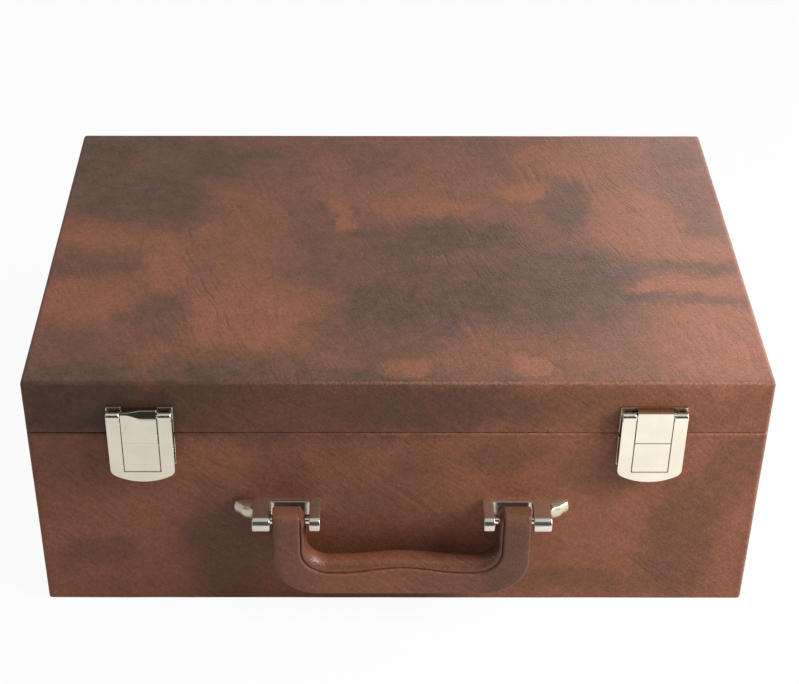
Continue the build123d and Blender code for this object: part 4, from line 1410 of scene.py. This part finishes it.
def band_solids():
    """The four strips of the band round the inside of the lid."""
    low = lid_room_low / MM
    high = lid_room_high / MM
    strips = []
    for side in (-1, 1):
        outer_y, inner_y = sorted((side * high.y, side * (high.y - BAND)))
        outer_x, inner_x = sorted((side * high.x, side * (high.x - BAND)))
        strips.append((Vector((low.x, outer_y, low.z)), Vector((high.x, inner_y, high.z))))
        strips.append((Vector((outer_x, low.y + BAND, low.z)), Vector((inner_x, high.y - BAND, high.z))))
    return strips


def pad_lines(steps):
    """Places of the cushion's grid lines, from -1 to 1, closer together toward the ends."""
    lines = []
    for step in range(steps + 1):
        even = 2 * step / steps - 1
        lines.append(PAD_CLOSENESS * math.sin(math.radians(90) * even) + (1 - PAD_CLOSENESS) * even)
    return lines


def pad_place(u, v, share, low, high):
    """A point of the cushion: u and v run from -1 to 1, and share from the lid (0) to the face (1)."""
    half = (high - low) / 2
    x = half.x * u * (1 - PAD_PULL[0] * (1 - v * v))
    y = half.y * v * (1 - PAD_PULL[1] * (1 - u * u))
    crown = (1 - abs(u) ** PAD_CROWN_POWER) * (1 - abs(v) ** PAD_CROWN_POWER)
    depth = PAD_EDGE + (high.z - low.z - PAD_EDGE) * crown
    rim = PAD_ROUNDING * max(abs(u), abs(v)) ** PAD_RIM_POWER * share
    pucker = PUCKER * noise.noise(Vector((x * PUCKER_SCALE, y * PUCKER_SCALE, 2.0))) * (1 - crown) * share
    bulge = 1 - PAD_TUCK * (2 * share - PAD_FULLEST) ** 2
    return Vector((x * bulge, y * bulge, high.z - share * (depth - rim + pucker)))


def make_lid_cushion():
    """Crowned cushion on the inside of the lid, flat where it rests, its sides pulled in a little."""
    low, high = (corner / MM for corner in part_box("lid_pad"))
    across, along = PAD_STEPS
    border = [(0, column) for column in range(across)] + [(row, across) for row in range(along)]
    border += [(along, column) for column in range(across, 0, -1)] + [(row, 0) for row in range(along, 0, -1)]
    work = bmesh.new()
    walls = []
    for share in PAD_LAYERS:
        flat = share in (PAD_LAYERS[0], PAD_LAYERS[-1])
        made = {}
        for row, v in enumerate(pad_lines(along)):
            for column, u in enumerate(pad_lines(across)):
                if flat or row in (0, along) or column in (0, across):
                    made[row, column] = work.verts.new(pad_place(u, v, share, low, high) * MM)
        if flat:
            grid = [[made[row, column] for column in range(across + 1)] for row in range(along + 1)]
            join_rows(work, grid, closed=False)
        walls.append([made[place] for place in border])
    join_rows(work, walls)
    cushion = finish_mesh("lid_cushion", work, velvet_material, sharp=120)
    dress(cushion, "lid", "velvet", "lid_pad")


def make_ribbon(name, side, low, high):
    """A pull ribbon glued up the tray's end wall, folded over into a loop above it."""
    wall = high.x if side > 0 else low.x
    inset, top = RIBBON_FOLD[0]
    line = [(inset, low.z + step * (top - low.z) / RIBBON_ROWS) for step in range(RIBBON_ROWS)] + RIBBON_FOLD
    places = spread(low.y + RIBBON_INSET, high.y - RIBBON_INSET, RIBBON_SPACING)
    work = bmesh.new()
    rows = [[work.verts.new(mm(wall - side * inset, y, up)) for y in places] for inset, up in line]
    join_rows(work, rows, closed=False)
    ribbon = finish_mesh(f"pull_ribbon_{name}", work, ribbon_material, sharp=120)
    thicken(ribbon, RIBBON_THICKNESS, 0)
    return ribbon


make_screw_heads("hinge_base_screws", "base")
make_screw_heads("hinge_lid_screws", "lid")
VELVET_NODES = {
    "base": (
        "base_lining_front", "base_lining_back", "base_lining_left", "base_lining_right",
        "base_lining_floor", "lower_divider_long", "lower_dividers_cross", "lower_dividers_short",
        "tray_ledge_left", "tray_ledge_right",
    ),
    "tray": (
        "tray_side_walls", "tray_end_walls", "tray_lining", "tray_divider_long",
        "tray_dividers_cross", "tray_dividers_short",
    ),
}
for body, nodes in VELVET_NODES.items():
    for node in nodes:
        make_boards(node, body, node_solids(node))
make_boards("lid_lining", "lid", band_solids())
make_lid_cushion()
left_solid, right_solid = sorted(node_solids("tray_ribbons"), key=lambda solid: solid[0].x)
dress(make_ribbon("left", -1, *left_solid), "tray", "ribbon", "tray_ribbons")
dress(make_ribbon("right", 1, *right_solid), "tray", "ribbon")

# The rest of the frame keeps its shapes, and takes these materials
NODE_MATERIALS = {
    "leatherette": skin_material,
    "nickel": nickel_material,
    "steel": steel_material,
    "board": board_material,
    "velvet": velvet_material,
    "ribbon": ribbon_material,
}
for part in frame["record"]["subparts"]:
    node_mesh = frame["nodes"][part["node"]].data
    node_mesh.materials.clear()
    node_mesh.materials.append(NODE_MATERIALS[part["material_slot"]])


# Studio

WHITE = (1, 1, 1, 1)
FLOOR_REACH = 6.0
FLOOR_SHADES = ((0.42, 0.42, 0.42, 1), (0.9, 0.9, 0.9, 1))
FLOOR_GLOW = 0.64
FLOOR_REFLECTED_GLOW = 0.3
AMBIENT = 0.35
REFLECTED_ROOM = 0.6
KEY_PLACE = (0.85, -0.36, 0.68)
KEY_TARGET = (0.0, -0.08, 0.08)
KEY_SIZE = 0.55
KEY_POWER = 13

# Cards that only reflections see, like an unlit room in front and a lit wall behind on the right: lower
# left and upper right corner, distance along y, and strength
CARDS = {
    "dark_room": ((-1.0, 0.12), (1.0, 1.0), -0.75, 0.03),
    "lit_wall": ((0.22, 0.2), (1.2, 1.1), 0.62, 2.6),
}


def make_key():
    """The soft square lamp on the right."""
    data = bpy.data.lights.new("key", "AREA")
    data.size = KEY_SIZE
    data.energy = KEY_POWER
    lamp = bpy.data.objects.new("key", data)
    bpy.context.collection.objects.link(lamp)
    lamp.location = KEY_PLACE
    lamp.rotation_euler = (Vector(KEY_TARGET) - Vector(KEY_PLACE)).to_track_quat("-Z", "Y").to_euler()


def make_flat(name, corners, material):
    """A flat face of the studio."""
    mesh = bpy.data.meshes.new(name)
    mesh.from_pydata(corners, [], [(0, 1, 2, 3)])
    made = make_object(name, mesh, material)
    return made


def rays(tree):
    """Whether a ray comes straight from the camera, and whether it is a reflection."""
    path = add_node(tree, "ShaderNodeLightPath")
    camera, through, glossy = (Wire(path, f"Is {kind} Ray") for kind in ("Camera", "Transmission", "Glossy"))
    return camera.calc("MAXIMUM", through), glossy


def make_floor():
    """A wide pale floor that keeps the object's shadow."""
    reach = FLOOR_REACH
    corners = [(-reach, -reach, 0), (reach, -reach, 0), (reach, reach, 0), (-reach, reach, 0)]
    material, _, shader = new_material("floor")
    tree = material.node_tree
    plain, glossy = rays(tree)
    seen = plain.calc("MAXIMUM", glossy)
    plug(shader, {"Base Color": mix(seen, *FLOOR_SHADES), "Roughness": 0.9, "Specular IOR Level": 0.0})
    glow = add_node(tree, "ShaderNodeEmission", {"Color": WHITE, "Strength": 1.0})
    share = plain * FLOOR_GLOW + seen * FLOOR_REFLECTED_GLOW
    both = add_node(tree, "ShaderNodeMixShader", {0: share, 1: Wire(shader), 2: Wire(glow)})
    plug(tree.nodes["Material Output"], {"Surface": Wire(both)})
    make_flat("floor", corners, material)


def make_world():
    """White where it is seen, and a soft even light elsewhere."""
    world = bpy.data.worlds.new("studio")
    bpy.context.scene.world = world
    tree = empty_tree(world)
    plain, glossy = rays(tree)
    strength = (glossy * (REFLECTED_ROOM - AMBIENT) + AMBIENT).calc("MAXIMUM", plain)
    background = add_node(tree, "ShaderNodeBackground", {"Color": WHITE, "Strength": strength})
    add_node(tree, "ShaderNodeOutputWorld", {"Surface": Wire(background)})


def make_card(name, low, high, y, strength):
    """A flat card that only reflections see."""
    material = bpy.data.materials.new(name)
    tree = empty_tree(material)
    glow = add_node(tree, "ShaderNodeEmission", {"Color": WHITE, "Strength": strength})
    add_node(tree, "ShaderNodeOutputMaterial", {"Surface": Wire(glow)})
    corners = [(low[0], y, low[1]), (high[0], y, low[1]), (high[0], y, high[1]), (low[0], y, high[1])]
    card = make_flat(name, corners, material)
    for part in ("camera", "diffuse", "shadow", "transmission", "volume_scatter"):
        setattr(card, f"visible_{part}", False)


make_camera()
make_world()
make_floor()
for name, settings in CARDS.items():
    make_card(name, *settings)
make_key()
bpy.context.scene.view_settings.view_transform = "Standard"
